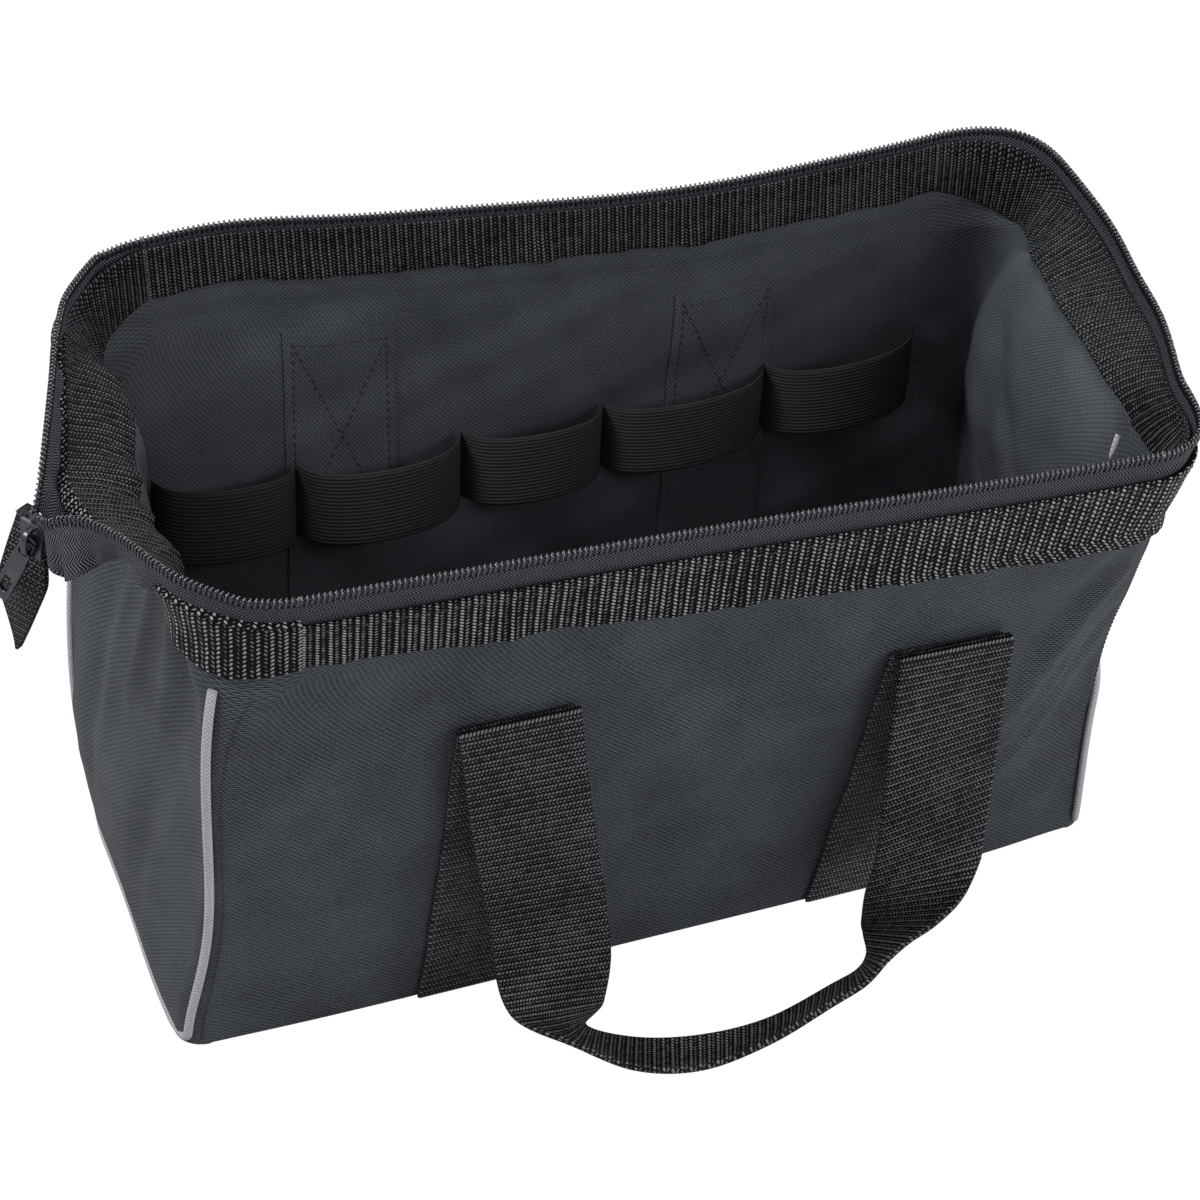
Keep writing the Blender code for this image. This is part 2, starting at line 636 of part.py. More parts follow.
def slider(finishes):
    """Build the slider: two plates on a post, a crown, and the pull that swings on it."""
    half = SLIDER_LENGTH / 2
    plate_outline = [
        (-SLIDER_MOUTH_WIDTH / 2, half), (-SLIDER_MOUTH_WIDTH / 2, half / 3), (-SLIDER_REAR_WIDTH / 2, -half / 2),
        (-SLIDER_REAR_WIDTH / 2, -half), (SLIDER_REAR_WIDTH / 2, -half), (SLIDER_REAR_WIDTH / 2, -half / 2),
        (SLIDER_MOUTH_WIDTH / 2, half / 3), (SLIDER_MOUTH_WIDTH / 2, half),
    ]
    near = SLIDER_SLOT / 2
    far = near + SLIDER_PLATE

    def plate(name, low_x, high_x):
        """Make one upright plate between two x values."""
        return ring_mesh(name, [[Vector((x, y, z)) for y, z in plate_outline] for x in (low_x, high_x)])

    body = place("zip_slider", plate("zip_slider", -far, -near), finishes["metal"])
    body.location = SLIDER_REST
    bite = SLIDER_PLATE / 2
    post = box_mesh("post", (-near - bite, -SLIDER_POST_WIDTH / 2, half - SLIDER_POST_LENGTH),
                    (near + bite, SLIDER_POST_WIDTH / 2, half))
    crown_far = -far - CROWN_RISE
    reach = CROWN_WIDTH / 2
    outer = CROWN_LENGTH / 2
    inner = outer - CROWN_BAR
    crown = [
        box_mesh("crown_bar", (crown_far, -reach, -outer), (crown_far + CROWN_BAR, reach, outer)),
        box_mesh("crown_foot", (crown_far + bite, -reach, -outer), (-far + bite, reach, -inner)),
        box_mesh("crown_head", (crown_far + bite, -reach, inner), (-far + bite, reach, outer)),
    ]
    combine(body, [plate("back_plate", near, far), post, *crown], "UNION")

    thick_far = -far - PULL_STANDOFF
    thick_mid = thick_far - PULL_THICKNESS / 2
    bar = PULL_THICKNESS / 2
    pivot = SLIDER_REST + Vector((thick_mid, 0, 0))
    blade = pull_blade(bar)
    pull = place("zip_pull_tab", blade, finishes["metal"])
    pull.location = pivot
    window = box_mesh("window", (-PULL_THICKNESS, -PULL_WINDOW_WIDTH / 2, -bar - PULL_WINDOW_LENGTH),
                      (PULL_THICKNESS, PULL_WINDOW_WIDTH / 2, -bar))
    slot_low = -PULL_LENGTH + (PULL_WIDTH - PULL_SLOT_WIDTH) / 2
    slot = box_mesh("slot", (-PULL_THICKNESS, -PULL_SLOT_WIDTH / 2, slot_low),
                    (PULL_THICKNESS, PULL_SLOT_WIDTH / 2, slot_low + PULL_SLOT_LENGTH))
    combine(pull, [window, slot], "DIFFERENCE")


def pull_blade(top):
    """Outline the pull: square at the crown, round at its free end."""
    half = PULL_WIDTH / 2
    outline = [(-half, top), (half, top)]
    for step in range(9):
        angle = math.pi * step / 8
        outline.append((half * math.cos(angle), -PULL_LENGTH + half - half * math.sin(angle)))
    faces = [[Vector((x, y, z)) for y, z in outline] for x in (-PULL_THICKNESS / 2, PULL_THICKNESS / 2)]
    return ring_mesh("zip_pull_tab", faces)


def tail_tab(finishes):
    """Hang the folded webbing tab, cut to a point, below the slider at the zip's tail."""
    top = SLIDER_REST.z - SLIDER_LENGTH / 2 - GAP
    low = top - TAB_LENGTH
    y_near = SLIDER_REST.y + TAB_SHIFT - TAB_WIDTH / 2
    y_far = y_near + TAB_WIDTH
    shoulder = low + TAB_WIDTH / 2
    outline = [(y_near, top), (y_far, top), (y_far, shoulder), ((y_near + y_far) / 2, low), (y_near, shoulder)]
    rings = []
    for x in (SLIDER_REST.x - TAB_THICKNESS / 2, SLIDER_REST.x + TAB_THICKNESS / 2):
        rings.append([Vector((x, y, z)) for y, z in outline])
    place("zip_tail_tab", ring_mesh("zip_tail_tab", rings), finishes["webbing"])


def main():
    """Clear the scene, then build every piece in order."""
    for thing in list(bpy.data.objects):
        bpy.data.objects.remove(thing, do_unlink=True)
    finishes = {
        "cloth": material("cloth", (0.028, 0.031, 0.038), 0.85),
        "lining": material("lining", (0.030, 0.032, 0.040), 0.80),
        "band": material("band", (0.012, 0.013, 0.014), 0.80),
        "webbing": material("webbing", (0.010, 0.011, 0.012), 0.75),
        "elastic": material("elastic", (0.008, 0.009, 0.010), 0.85),
        "tape": material("tape", (0.016, 0.018, 0.024), 0.85),
        "coil": material("coil", (0.020, 0.021, 0.024), 0.35),
        "piping": material("piping", (0.38, 0.36, 0.42), 0.60),
        "board": material("board", (0.030, 0.030, 0.032), 0.70),
        "wire": material("wire", (0.45, 0.45, 0.46), 0.35, 1.0),
        "metal": material("metal", (0.050, 0.052, 0.058), 0.35, 1.0),
    }
    base(finishes)
    end_panels(finishes)
    wall("front", FRONT, finishes)
    wall("back", BACK, finishes)
    tool_loops(finishes)
    frame_wire("front_frame_wire", FRONT, finishes)
    frame_wire("back_frame_wire", BACK, finishes)
    handle("front_handle", FRONT, finishes)
    handle("back_handle", BACK, finishes)
    right_zip_ends(finishes)
    left_zip_tails(finishes)
    slider(finishes)
    tail_tab(finishes)


main()
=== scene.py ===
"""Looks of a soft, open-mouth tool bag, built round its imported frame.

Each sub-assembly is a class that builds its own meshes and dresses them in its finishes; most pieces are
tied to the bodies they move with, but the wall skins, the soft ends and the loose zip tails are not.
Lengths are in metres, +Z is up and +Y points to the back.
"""

import logging
import math
from dataclasses import dataclass, field
from enum import Enum
from typing import Optional, Sequence

import bpy
import numpy as np
from mathutils import Matrix, Vector


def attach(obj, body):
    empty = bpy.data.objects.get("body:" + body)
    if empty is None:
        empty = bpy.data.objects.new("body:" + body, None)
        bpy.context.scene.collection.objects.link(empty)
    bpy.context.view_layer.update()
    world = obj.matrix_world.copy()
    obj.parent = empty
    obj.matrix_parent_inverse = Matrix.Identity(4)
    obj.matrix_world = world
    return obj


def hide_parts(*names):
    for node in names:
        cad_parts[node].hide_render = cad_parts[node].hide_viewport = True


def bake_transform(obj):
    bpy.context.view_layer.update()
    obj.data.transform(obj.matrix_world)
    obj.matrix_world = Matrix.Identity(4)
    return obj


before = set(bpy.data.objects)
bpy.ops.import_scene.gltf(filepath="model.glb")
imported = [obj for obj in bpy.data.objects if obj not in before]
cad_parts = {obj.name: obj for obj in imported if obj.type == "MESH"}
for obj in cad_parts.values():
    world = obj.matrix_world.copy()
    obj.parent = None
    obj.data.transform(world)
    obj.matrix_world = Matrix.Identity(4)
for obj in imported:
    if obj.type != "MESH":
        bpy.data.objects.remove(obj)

logging.basicConfig(level=logging.INFO, format="%(message)s")
log = logging.getLogger("tool_bag")

Array = np.ndarray
Piece = bpy.types.Object
Pair = tuple[float, float]
Colour = tuple[float, float, float]
Place = tuple[float, float, float]
WHITE = (1.0, 1.0, 1.0, 1.0)
BEND_REACH = 0.062
BEND_HEIGHT = 0.1
STITCH_SHARE = 0.74
THREAD_RADIUS = 0.00024
GATHER = 0.7
SHARP_EDGE = 35.0
WAVE_STEP = 1.73
WAVE_FADE = 0.62
WAVE_FULL = 1.6


class Way(Enum):
    """A way out from the bag's middle, by the sign of a coordinate."""

    @property
    def word(self) -> str:
        """Returns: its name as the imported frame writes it."""
        return self.name.lower()


class Side(Way):
    """The two long walls, by the sign of their y."""

    FRONT = -1
    BACK = 1


class End(Way):
    """The two soft ends, by the sign of their x."""

    LEFT = -1
    RIGHT = 1


# Numbers


def ease(value: Array, low: float, high: float) -> Array:
    """Rises smoothly from 0 to 1.

    Args:
        value: numbers to judge.
        low: where the rise starts.
        high: where it is complete.

    Returns:
        The eased numbers.
    """
    share = np.clip((np.asarray(value, float) - low) / (high - low), 0.0, 1.0)
    return share * share * (3.0 - 2.0 * share)


def unit(vectors: Array) -> Array:
    """Scales vectors to length 1.

    Args:
        vectors: an array whose last axis holds x, y and z.

    Returns:
        The unit vectors.
    """
    return vectors / np.maximum(np.linalg.norm(vectors, axis=-1, keepdims=True), 1e-12)


def through(points: Sequence[Sequence[float]], count: int) -> Array:
    """Reads a smooth curve that passes through every given point.

    Args:
        points: the points, or rows of any equal length.
        count: how many rows to return.

    Returns:
        The rows, evenly spaced by parameter.
    """
    keys = np.asarray(points, float)
    keys = np.vstack([2 * keys[0] - keys[1], keys, 2 * keys[-1] - keys[-2]])
    place = np.linspace(0, len(points) - 1, count)
    index = np.minimum(place.astype(int), len(points) - 2)
    share = (place - index)[:, None]
    before, start, finish, after = (keys[index + step] for step in range(4))
    return 0.5 * (
        2 * start
        + (finish - before) * share
        + (2 * before - 5 * start + 4 * finish - after) * share**2
        + (3 * start - before - 3 * finish + after) * share**3
    )


def distances(steps: Array) -> Array:
    """Adds up steps.

    Args:
        steps: the length of each step.

    Returns:
        The distance gone at each place, from 0.
    """
    return np.concatenate([[0.0], np.cumsum(steps)])


def even(rows: Array, count: int) -> Array:
    """Respaces rows so that their first three columns are an even distance apart.

    Args:
        rows: rows that start with x, y and z.
        count: how many rows to return.

    Returns:
        The respaced rows.
    """
    reach = distances(np.linalg.norm(np.diff(rows[:, :3], axis=0), axis=1))
    wanted = np.linspace(0.0, reach[-1], count)
    return np.stack([np.interp(wanted, reach, column) for column in rows.T], axis=1)


def directions(route: Array) -> Array:
    """Gives the unit direction of a route at each point.

    Args:
        route: points in order.

    Returns:
        One direction a point.
    """
    return unit(np.gradient(route, axis=0))


def upright(route: Array) -> tuple[Array, Array]:
    """Gives the directions across a fairly level route.

    Args:
        route: points in order.

    Returns:
        The direction aside and the direction up at each point.
    """
    along = directions(route)
    aside = unit(np.cross(along, (0.0, 0.0, 1.0)))
    return aside, np.cross(aside, along)


def wander(value: Array, seed: int, reach: float, octaves: int = 3) -> Array:
    """Makes a smooth, repeatable wave without a pattern the eye can find.

    Args:
        value: distances in metres.
        seed: picks the phases.
        reach: the longest wave's length in metres.
        octaves: how many shorter waves are added.

    Returns:
        Numbers mostly between -1 and 1.
    """
    value = np.asarray(value, float)
    total = np.zeros_like(value)
    for octave in range(octaves):
        phase = math.tau * math.modf(math.sin(seed * 12.9898 + octave * 78.233) * 43758.5453)[0]
        total = total + np.sin(value * math.tau / reach * WAVE_STEP**octave + phase) * WAVE_FADE**octave
    return total / WAVE_FULL


# Shader maths


class Signal:
    """A shader value that can be used in plain arithmetic."""

    def __init__(self, graph: "Graph", socket: bpy.types.NodeSocket) -> None:
        """Wraps a socket.

        Args:
            graph: the graph it belongs to.
            socket: the output socket.
        """
        self.graph = graph
        self.socket = socket

    def math(self, operation: str, *others: "Signal | float") -> "Signal":
        """Applies one maths operation.

        Args:
            operation: the maths node's operation.
            others: the further operands.

        Returns:
            The result.
        """
        return self.graph.math(operation, self, *others)

    def __add__(self, other: "Signal | float") -> "Signal":
        """Returns: this plus the other."""
        return self.math("ADD", other)

    def __radd__(self, other: float) -> "Signal":
        """Returns: the other plus this."""
        return self.math("ADD", other)

    def __sub__(self, other: "Signal | float") -> "Signal":
        """Returns: this less the other."""
        return self.math("SUBTRACT", other)

    def __rsub__(self, other: float) -> "Signal":
        """Returns: the other less this."""
        return self.graph.math("SUBTRACT", other, self)

    def __mul__(self, other: "Signal | float") -> "Signal":
        """Returns: this times the other."""
        return self.math("MULTIPLY", other)

    def __rmul__(self, other: float) -> "Signal":
        """Returns: the other times this."""
        return self.math("MULTIPLY", other)

    def __truediv__(self, other: "Signal | float") -> "Signal":
        """Returns: this over the other."""
        return self.math("DIVIDE", other)

    def __rtruediv__(self, other: float) -> "Signal":
        """Returns: the other over this."""
        return self.graph.math("DIVIDE", other, self)

    def __neg__(self) -> "Signal":
        """Returns: this with its sign turned."""
        return self.math("MULTIPLY", -1.0)

    def sin(self) -> "Signal":
        """Returns: the sine."""
        return self.math("SINE")

    def bounce(self, scale: float) -> "Signal":
        """Returns: a triangle wave between 0 and scale.

        Args:
            scale: the wave's height and half its length.
        """
        return self.math("PINGPONG", scale)

    def wave(self, pitch: float) -> "Signal":
        """Returns: a sine wave of the value, from 0 to 1.

        Args:
            pitch: the wave's length.
        """
        return (self * (math.tau / pitch)).sin() * 0.5 + 0.5

    def ramp(self, low: float, high: float) -> "Signal":
        """Returns: a smooth rise from 0 to 1.

        Args:
            low: where it starts.
            high: where it ends.
        """
        inputs = {"Value": self, "From Min": low, "From Max": high}
        made = self.graph.node("ShaderNodeMapRange", inputs, interpolation_type="SMOOTHSTEP")
        return Signal(self.graph, made.outputs["Result"])


class Nodes:
    """A node tree, with methods that add any node and any maths node."""

    def __init__(self, tree: bpy.types.NodeTree) -> None:
        """Takes a tree.

        Args:
            tree: the tree.
        """
        self.tree = tree

    def node(self, kind: str, inputs: Optional[dict] = None, **settings: object) -> bpy.types.Node:
        """Adds any node.

        Args:
            kind: the node's type name.
            inputs: signals, sockets or constants by socket name or number.
            settings: properties of the node.

        Returns:
            The node.
        """
        made = self.tree.nodes.new(kind)
        for key, value in settings.items():
            setattr(made, key, value)
        for key, value in (inputs or {}).items():
            self.feed(made.inputs[key], value)
        return made

    def feed(self, socket: bpy.types.NodeSocket, value: object) -> None:
        """Links a signal or a socket, or sets a constant.

        Args:
            socket: the input socket.
            value: a signal, a socket or a constant.
        """
        if isinstance(value, Signal):
            value = value.socket
        if isinstance(value, bpy.types.NodeSocket):
            self.tree.links.new(value, socket)
        else:
            socket.default_value = value

    def value(self, operation: str, *operands: object) -> bpy.types.NodeSocket:
        """Returns: the result of a maths node.

        Args:
            operation: its operation.
            operands: its inputs in order.
        """
        return self.node("ShaderNodeMath", dict(enumerate(operands)), operation=operation).outputs[0]


class Graph(Nodes):
    """The node graph of one surface material."""

    def __init__(self, name: str) -> None:
        """Starts a material.

        Args:
            name: the material's name.
        """
        self.material = bpy.data.materials.new(name)
        self.material.use_nodes = True
        super().__init__(self.material.node_tree)
        self.shader = self.tree.nodes["Principled BSDF"]

    def math(self, operation: str, *operands: "Signal | float") -> Signal:
        """Returns: the result of a maths node, ready for arithmetic.

        Args:
            operation: its operation.
            operands: its inputs in order.
        """
        return Signal(self, self.value(operation, *operands))

    def weave_axes(self) -> tuple[Signal, Signal]:
        """Returns: the distance along and across the cloth, in metres."""
        made = self.node("ShaderNodeUVMap", uv_map="weave")
        parts = self.node("ShaderNodeSeparateXYZ", {0: made.outputs[0]})
        return Signal(self, parts.outputs[0]), Signal(self, parts.outputs[1])

    def noise(self, scale: float, detail: float = 2.0) -> Signal:
        """Adds noise in object coordinates.

        Args:
            scale: cells a metre.
            detail: how many finer layers.

        Returns:
            Its value, around 0.5.
        """
        place = self.node("ShaderNodeTexCoord").outputs["Object"]
        made = self.node("ShaderNodeTexNoise", {"Vector": place, "Scale": scale, "Detail": detail})
        return Signal(self, made.outputs["Fac"])

    def blend(self, factor: Signal, low: Colour, high: Colour) -> bpy.types.NodeSocket:
        """Mixes two colours.

        Args:
            factor: 0 for the first colour, 1 for the second.
            low: the first colour.
            high: the second colour.

        Returns:
            The colour socket.
        """
        inputs = {"Factor": factor, 6: (*low, 1.0), 7: (*high, 1.0)}
        return self.node("ShaderNodeMix", inputs, data_type="RGBA").outputs[2]

    def bump(self, height: Signal, distance: float) -> None:
        """Feeds a bump to the surface's normal.

        Args:
            height: the height as a share of the distance.
            distance: the full height in metres.
        """
        made = self.node("ShaderNodeBump", {"Height": height, "Distance": distance, "Strength": 1.0})
        self.feed(self.shader.inputs["Normal"], made.outputs["Normal"])

    def surface(self, **values: object) -> None:
        """Sets the surface's own sockets.

        Args:
            values: value or signal by socket name, with underscores for spaces.
        """
        for key, value in values.items():
            self.feed(self.shader.inputs[key.replace("_", " ")], value)


# Finishes


@dataclass(frozen=True)
class Finish:
    """A plain surface: colour, roughness and shine."""

    name: str
    slot: str
    colour: Colour
    roughness: float = 0.7
    metallic: float = 0.0
    specular: float = 0.5
    sheen: float = 0.0

    def material(self) -> bpy.types.Material:
        """Returns: the finish's material, made on first use."""
        known = bpy.data.materials.get(self.name)
        if known:
            return known
        graph = Graph(self.name)
        graph.surface(Base_Color=(*self.colour, 1.0), Roughness=self.roughness, Metallic=self.metallic)
        graph.surface(Specular_IOR_Level=self.specular, Sheen_Weight=self.sheen)
        self.detail(graph)
        return graph.material

    def detail(self, graph: Graph) -> None:
        """Adds what varies over the surface; the plain finish has nothing.

        Args:
            graph: the material's graph.
        """


@dataclass(frozen=True)
class Cloth(Finish):
    """Coated plain-weave cloth with a fine grain."""

    thread: float = 0.00105
    weft_share: float = 1.12
    relief: float = 0.00016
    # colour of the raised threads, lighter partly as painted sheen
    light: Colour = (0.06, 0.06, 0.07)
    lines: float = 0.35
    patches: float = 38.0
    fuzz: float = 1100.0

    def detail(self, graph: Graph) -> None:
        """Weaves the cloth, with painted sheen: the raised threads are painted lighter than the gaps, over
        the weave's own pattern and random patches.

        Args:
            graph: the material's graph.
        """
        along, across = graph.weave_axes()
        turn = math.pi / self.thread
        cells = (along * turn).sin() * (across * (turn * self.weft_share)).sin() * 0.5 + 0.5
        weft = across.wave(self.thread * 0.9)
        grain = cells * (1.0 - self.lines) + weft * self.lines
        patchy = graph.noise(self.patches, 4.0)
        fine = graph.noise(self.fuzz, 1.0)
        tone = (grain * 0.85 + fine * 0.35 + patchy * 0.35 - 0.28).ramp(0.15, 0.90)
        # painted sheen: raised threads lighter than the gaps, on top of the weave pattern
        graph.surface(Base_Color=graph.blend(tone, self.colour, self.light))
        graph.surface(Roughness=patchy * 0.16 + (self.roughness - 0.08))
        graph.bump(grain * 0.8 + fine * 0.3, self.relief)


@dataclass(frozen=True)
class Webbing(Finish):
    """Narrow-woven webbing: rows of small slanted yarns, staggered from row to row."""

    row: float = 0.00135
    yarn: float = 0.00135
    relief: float = 0.00030
    # colour of the raised yarns, lighter partly as painted sheen
    light: Colour = (0.06, 0.064, 0.070)
    edge: float = 0.30
    slant: float = 0.7
    patches: float = 60.0
    mottle: float = 480.0
    fuzz: float = 1300.0

    def detail(self, graph: Graph) -> None:
        """Weaves the webbing, with painted sheen and shade: raised yarns are painted lighter and the gaps
        darker, over the weave's own pattern.

        Args:
            graph: the material's graph.
        """
        along, across = graph.weave_axes()
        rows = along.wave(self.row)
        yarns = (across + along.bounce(self.row) * (self.yarn / self.row * self.slant)).wave(self.yarn)
        raised = (rows * yarns).math("SQRT")
        patchy = graph.noise(self.patches, 3.0)
        fine = graph.noise(self.fuzz, 1.0)
        paired = along.wave(self.row * 2.0) * 0.5 + 0.65
        uneven = raised * (graph.noise(self.mottle) * 1.1 + 0.45) * paired
        tone = (uneven + fine * 0.25 + patchy * 0.40 - 0.32).ramp(self.edge, 0.95)
        # painted sheen and shade: raised yarns lighter, gaps darker, over the weave pattern
        graph.surface(Base_Color=graph.blend(tone, self.colour, self.light))
        graph.surface(Roughness=self.roughness - raised * 0.10)
        graph.bump(raised, self.relief)


@dataclass(frozen=True)
class Herringbone(Finish):
    """Fine zip tape woven in chevrons."""

    chevron: float = 0.0024
    pitch: float = 0.0012
    relief: float = 0.00018
    fuzz: float = 1300.0
    # colour of the raised ridges, lighter partly as painted sheen
    light: Colour = (0.05, 0.052, 0.060)

    def detail(self, graph: Graph) -> None:
        """Weaves the tape, with painted sheen: the raised chevron ridges are painted lighter, over the
        weave's own pattern.

        Args:
            graph: the material's graph.
        """
        along, across = graph.weave_axes()
        slope = (along + across.bounce(self.chevron)).wave(self.pitch)
        fine = graph.noise(self.fuzz, 1.0)
        tone = (slope + fine * 0.3 - 0.15).ramp(0.25, 0.95)
        # painted sheen: raised chevron ridges lighter than the hollows
        graph.surface(Base_Color=graph.blend(tone, self.colour, self.light))
        graph.bump(slope, self.relief)


@dataclass(frozen=True)
class Elastic(Finish):
    """Ribbed elastic band."""

    rib: float = 0.0013
    relief: float = 0.00025
    # colour of the rib crests, lighter as painted sheen
    light: Colour = (0.02, 0.02, 0.022)

    def detail(self, graph: Graph) -> None:
        """Ribs the elastic along its length, with painted sheen: the rib crests are painted lighter.

        Args:
            graph: the material's graph.
        """
        along, across = graph.weave_axes()
        ribs = across.wave(self.rib)
        knit = along.wave(self.rib * 0.8)
        height = ribs * 0.8 + knit * 0.2
        # painted sheen: rib crests lighter than the grooves
        graph.surface(Base_Color=graph.blend(height, self.colour, self.light))
        graph.bump(height, self.relief)


@dataclass(frozen=True)
class Moulded(Finish):
    """Moulded or cast surface with a slight grain and wear."""

    grain: float = 900.0
    relief: float = 0.00002
    spread: float = 0.08

    def detail(self, graph: Graph) -> None:
        """Varies the roughness and adds a faint grain.

        Args:
            graph: the material's graph.
        """
        patchy = graph.noise(self.grain * 0.2, 3.0)
        graph.surface(Roughness=patchy * (2 * self.spread) + (self.roughness - self.spread))
        graph.bump(graph.noise(self.grain), self.relief)


class Finishes:
    """Every finish on the bag."""

    # the light colours below paint raised threads, yarns and ribs lighter: the weave pattern with painted
    # sheen
    cloth = Cloth(
        "shell_cloth", "cloth", (0.0020, 0.0026, 0.0038), 0.60, specular=0.22, sheen=0.03,
        light=(0.100, 0.113, 0.136), relief=0.00022, lines=0.5,
    )
    lining = Cloth(
        "lining_cloth", "lining", (0.028, 0.032, 0.038), 0.70, specular=0.20,
        light=(0.094, 0.102, 0.117), thread=0.0009, relief=0.00008,
    )
    band = Webbing(
        "band_webbing", "band", (0.0008, 0.0010, 0.0012), 0.62, specular=0.12,
        row=0.0020, yarn=0.0016, relief=0.0005, light=(0.330, 0.352, 0.368), edge=0.40,
    )
    inner_band = Webbing(
        "band_inside", "band", (0.0014, 0.0018, 0.0021), 0.66, specular=0.12,
        row=0.00145, yarn=0.00112, relief=0.00035, light=(0.120, 0.132, 0.140), edge=0.36,
    )
    webbing = Webbing(
        "handle_webbing", "webbing", (0.0012, 0.0015, 0.0018), 0.60, specular=0.16,
        row=0.00150, yarn=0.00125, light=(0.165, 0.180, 0.194), edge=0.34,
    )
    # the handle's webbing again, with painted light: lighter where it is sewn flat on the walls
    strap = Webbing(
        "strap_webbing", "webbing", (0.0080, 0.0092, 0.0104), 0.62, specular=0.20,
        row=0.00150, yarn=0.00125, light=(0.240, 0.262, 0.280), edge=0.30,
    )
    elastic = Elastic(
        "loop_elastic", "elastic", (0.013, 0.015, 0.017), 0.80, specular=0.2,
        light=(0.036, 0.039, 0.043),
    )
    tape = Herringbone(
        "zip_tape", "tape", (0.0016, 0.0019, 0.0028), 0.66, specular=0.16,
        light=(0.120, 0.128, 0.155), chevron=0.0022, pitch=0.0011,
    )
    coil = Moulded("zip_coil", "coil", (0.115, 0.119, 0.127), 0.20, 0.88, specular=0.8, grain=300.0)
    piping = Cloth(
        "corner_piping", "piping", (0.30, 0.295, 0.330), 0.55, specular=0.4,
        light=(0.54, 0.530, 0.580), thread=0.0008, relief=0.00018, lines=0.2,
    )
    board = Finish("base_board", "board", (0.020, 0.020, 0.022), 0.6)
    wire = Finish("frame_steel", "wire", (0.42, 0.42, 0.43), 0.35, 1.0)
    metal = Moulded("slider_metal", "metal", (0.105, 0.110, 0.125), 0.30, 1.0, grain=500.0)
    thread = Finish("sewing_thread", "webbing", (0.020, 0.021, 0.024), 0.50)


# Meshes


def placed(name: str, data: bpy.types.ID) -> Piece:
    """Puts a new object in the scene.

    Args:
        name: its name.
        data: its mesh, light or camera.

    Returns:
        The object.
    """
    made = bpy.data.objects.new(name, data)
    bpy.context.scene.collection.objects.link(made)
    return made


def loft(
    name: str, points: Array, finish: Finish, strip_caps: bool = True, spread: Optional[Array] = None
) -> Piece:
    """Skins a closed solid through equal closed sections.

    Args:
        name: the object's name.
        points: positions by section, then round the section.
        finish: its finish.
        strip_caps: caps its ends in strips, for thin slabs; else in one face.
        spread: how wide each section is, as a share of the first.

    Returns:
        The object, with a weave map in metres along and round it.
    """
    sections, count = points.shape[:2]
    index = np.arange(sections * count).reshape(sections, count)
    nearer, farther = index[:-1], index[1:]
    corners = (nearer, np.roll(nearer, -1, 1), np.roll(farther, -1, 1), farther)
    quads = np.stack(corners, axis=-1).reshape(-1, 4)
    faces = quads.tolist()
    first, last = index[0].tolist(), index[-1].tolist()
    if strip_caps:
        for row, step in ((first, -1), (last, 1)):
            for low in range(count // 2 - 1):
                cap = [row[low], row[low + 1], row[count - 2 - low], row[count - 1 - low]]
                faces.append(cap[::step])
    else:
        faces += [first[::-1], last]
    mesh = bpy.data.meshes.new(name)
    mesh.from_pydata(points.reshape(-1, 3).tolist(), [], faces)
    along = distances(np.linalg.norm(np.diff(points, axis=0), axis=2).mean(axis=1))
    closed = np.concatenate([points, points[:, :1]], axis=1)
    around = distances(np.linalg.norm(np.diff(closed, axis=1), axis=2).mean(axis=0))
    weave = mesh.uv_layers.new(name="weave")
    row, column = np.divmod(np.array([corner for face in faces for corner in face], int), count)
    wrap = np.zeros(len(row), bool)
    wrap[: quads.size] = np.tile([False, True, True, False], len(quads)) & (column[: quads.size] == 0)
    around_face = around[np.where(wrap, count, column)]
    if spread is not None:
        half = around[-1] / 2
        around_face = half + (around_face - half) * (spread / spread.mean())[row]
    values = np.stack([along[row], around_face], axis=1)
    weave.data.foreach_set("uv", values.astype(np.float32).ravel())
    return finished(name, mesh, finish)


def finished(name: str, mesh: bpy.types.Mesh, finish: Finish, angle: float = 40.0) -> Piece:
    """Puts a mesh in the scene with its finish, facing outwards and shaded smooth.

    Args:
        name: the object's name.
        mesh: its mesh.
        finish: its finish.
        angle: edges sharper than this many degrees stay sharp.

    Returns:
        The object.
    """
    mesh.validate()
    mesh.update()
    if signed_volume(mesh) < 0:
        mesh.flip_normals()
    mesh.shade_smooth()
    mesh.set_sharp_from_angle(angle=math.radians(angle))
    mesh.materials.clear()
    mesh.materials.append(finish.material())
    made = placed(name, mesh)
    log.info("%s: %d faces", name, len(mesh.polygons))
    return made


def signed_volume(mesh: bpy.types.Mesh) -> float:
    """Measures a closed mesh.

    Args:
        mesh: the mesh.

    Returns:
        Its volume, negative if it faces inwards.
    """
    mesh.calc_loop_triangles()
    corners = np.empty(len(mesh.vertices) * 3)
    mesh.vertices.foreach_get("co", corners)
    corners = corners.reshape(-1, 3)
    triangles = np.empty(len(mesh.loop_triangles) * 3, int)
    mesh.loop_triangles.foreach_get("vertices", triangles)
    first, second, third = (corners[triangles.reshape(-1, 3)[:, step]] for step in range(3))
    return float(np.einsum("ij,ij->i", first, np.cross(second, third)).sum() / 6)


def rounded_section(half_wide: float, half_thick: float, across: int = 12, bend: int = 4) -> Array:
    """Outlines webbing's section: flat faces and round edges.

    Args:
        half_wide: half its width.
        half_thick: half its thickness.
        across: steps over each flat face.
        bend: steps round each edge.

    Returns:
        Pairs of sideways and outward places, which mirror end to end.
    """
    flat = half_wide - half_thick
    top = [(x, half_thick) for x in np.linspace(-flat, flat, across + 1)]
    angles = [math.pi * step / bend for step in range(1, bend)]
    turn = [(flat + half_thick * math.sin(angle), half_thick * math.cos(angle)) for angle in angles]
    low = [(x, -half_thick) for x in np.linspace(flat, -flat, across + 1)]
    back = [(-x, -y) for x, y in turn]
    return np.array(top + turn + low + back)


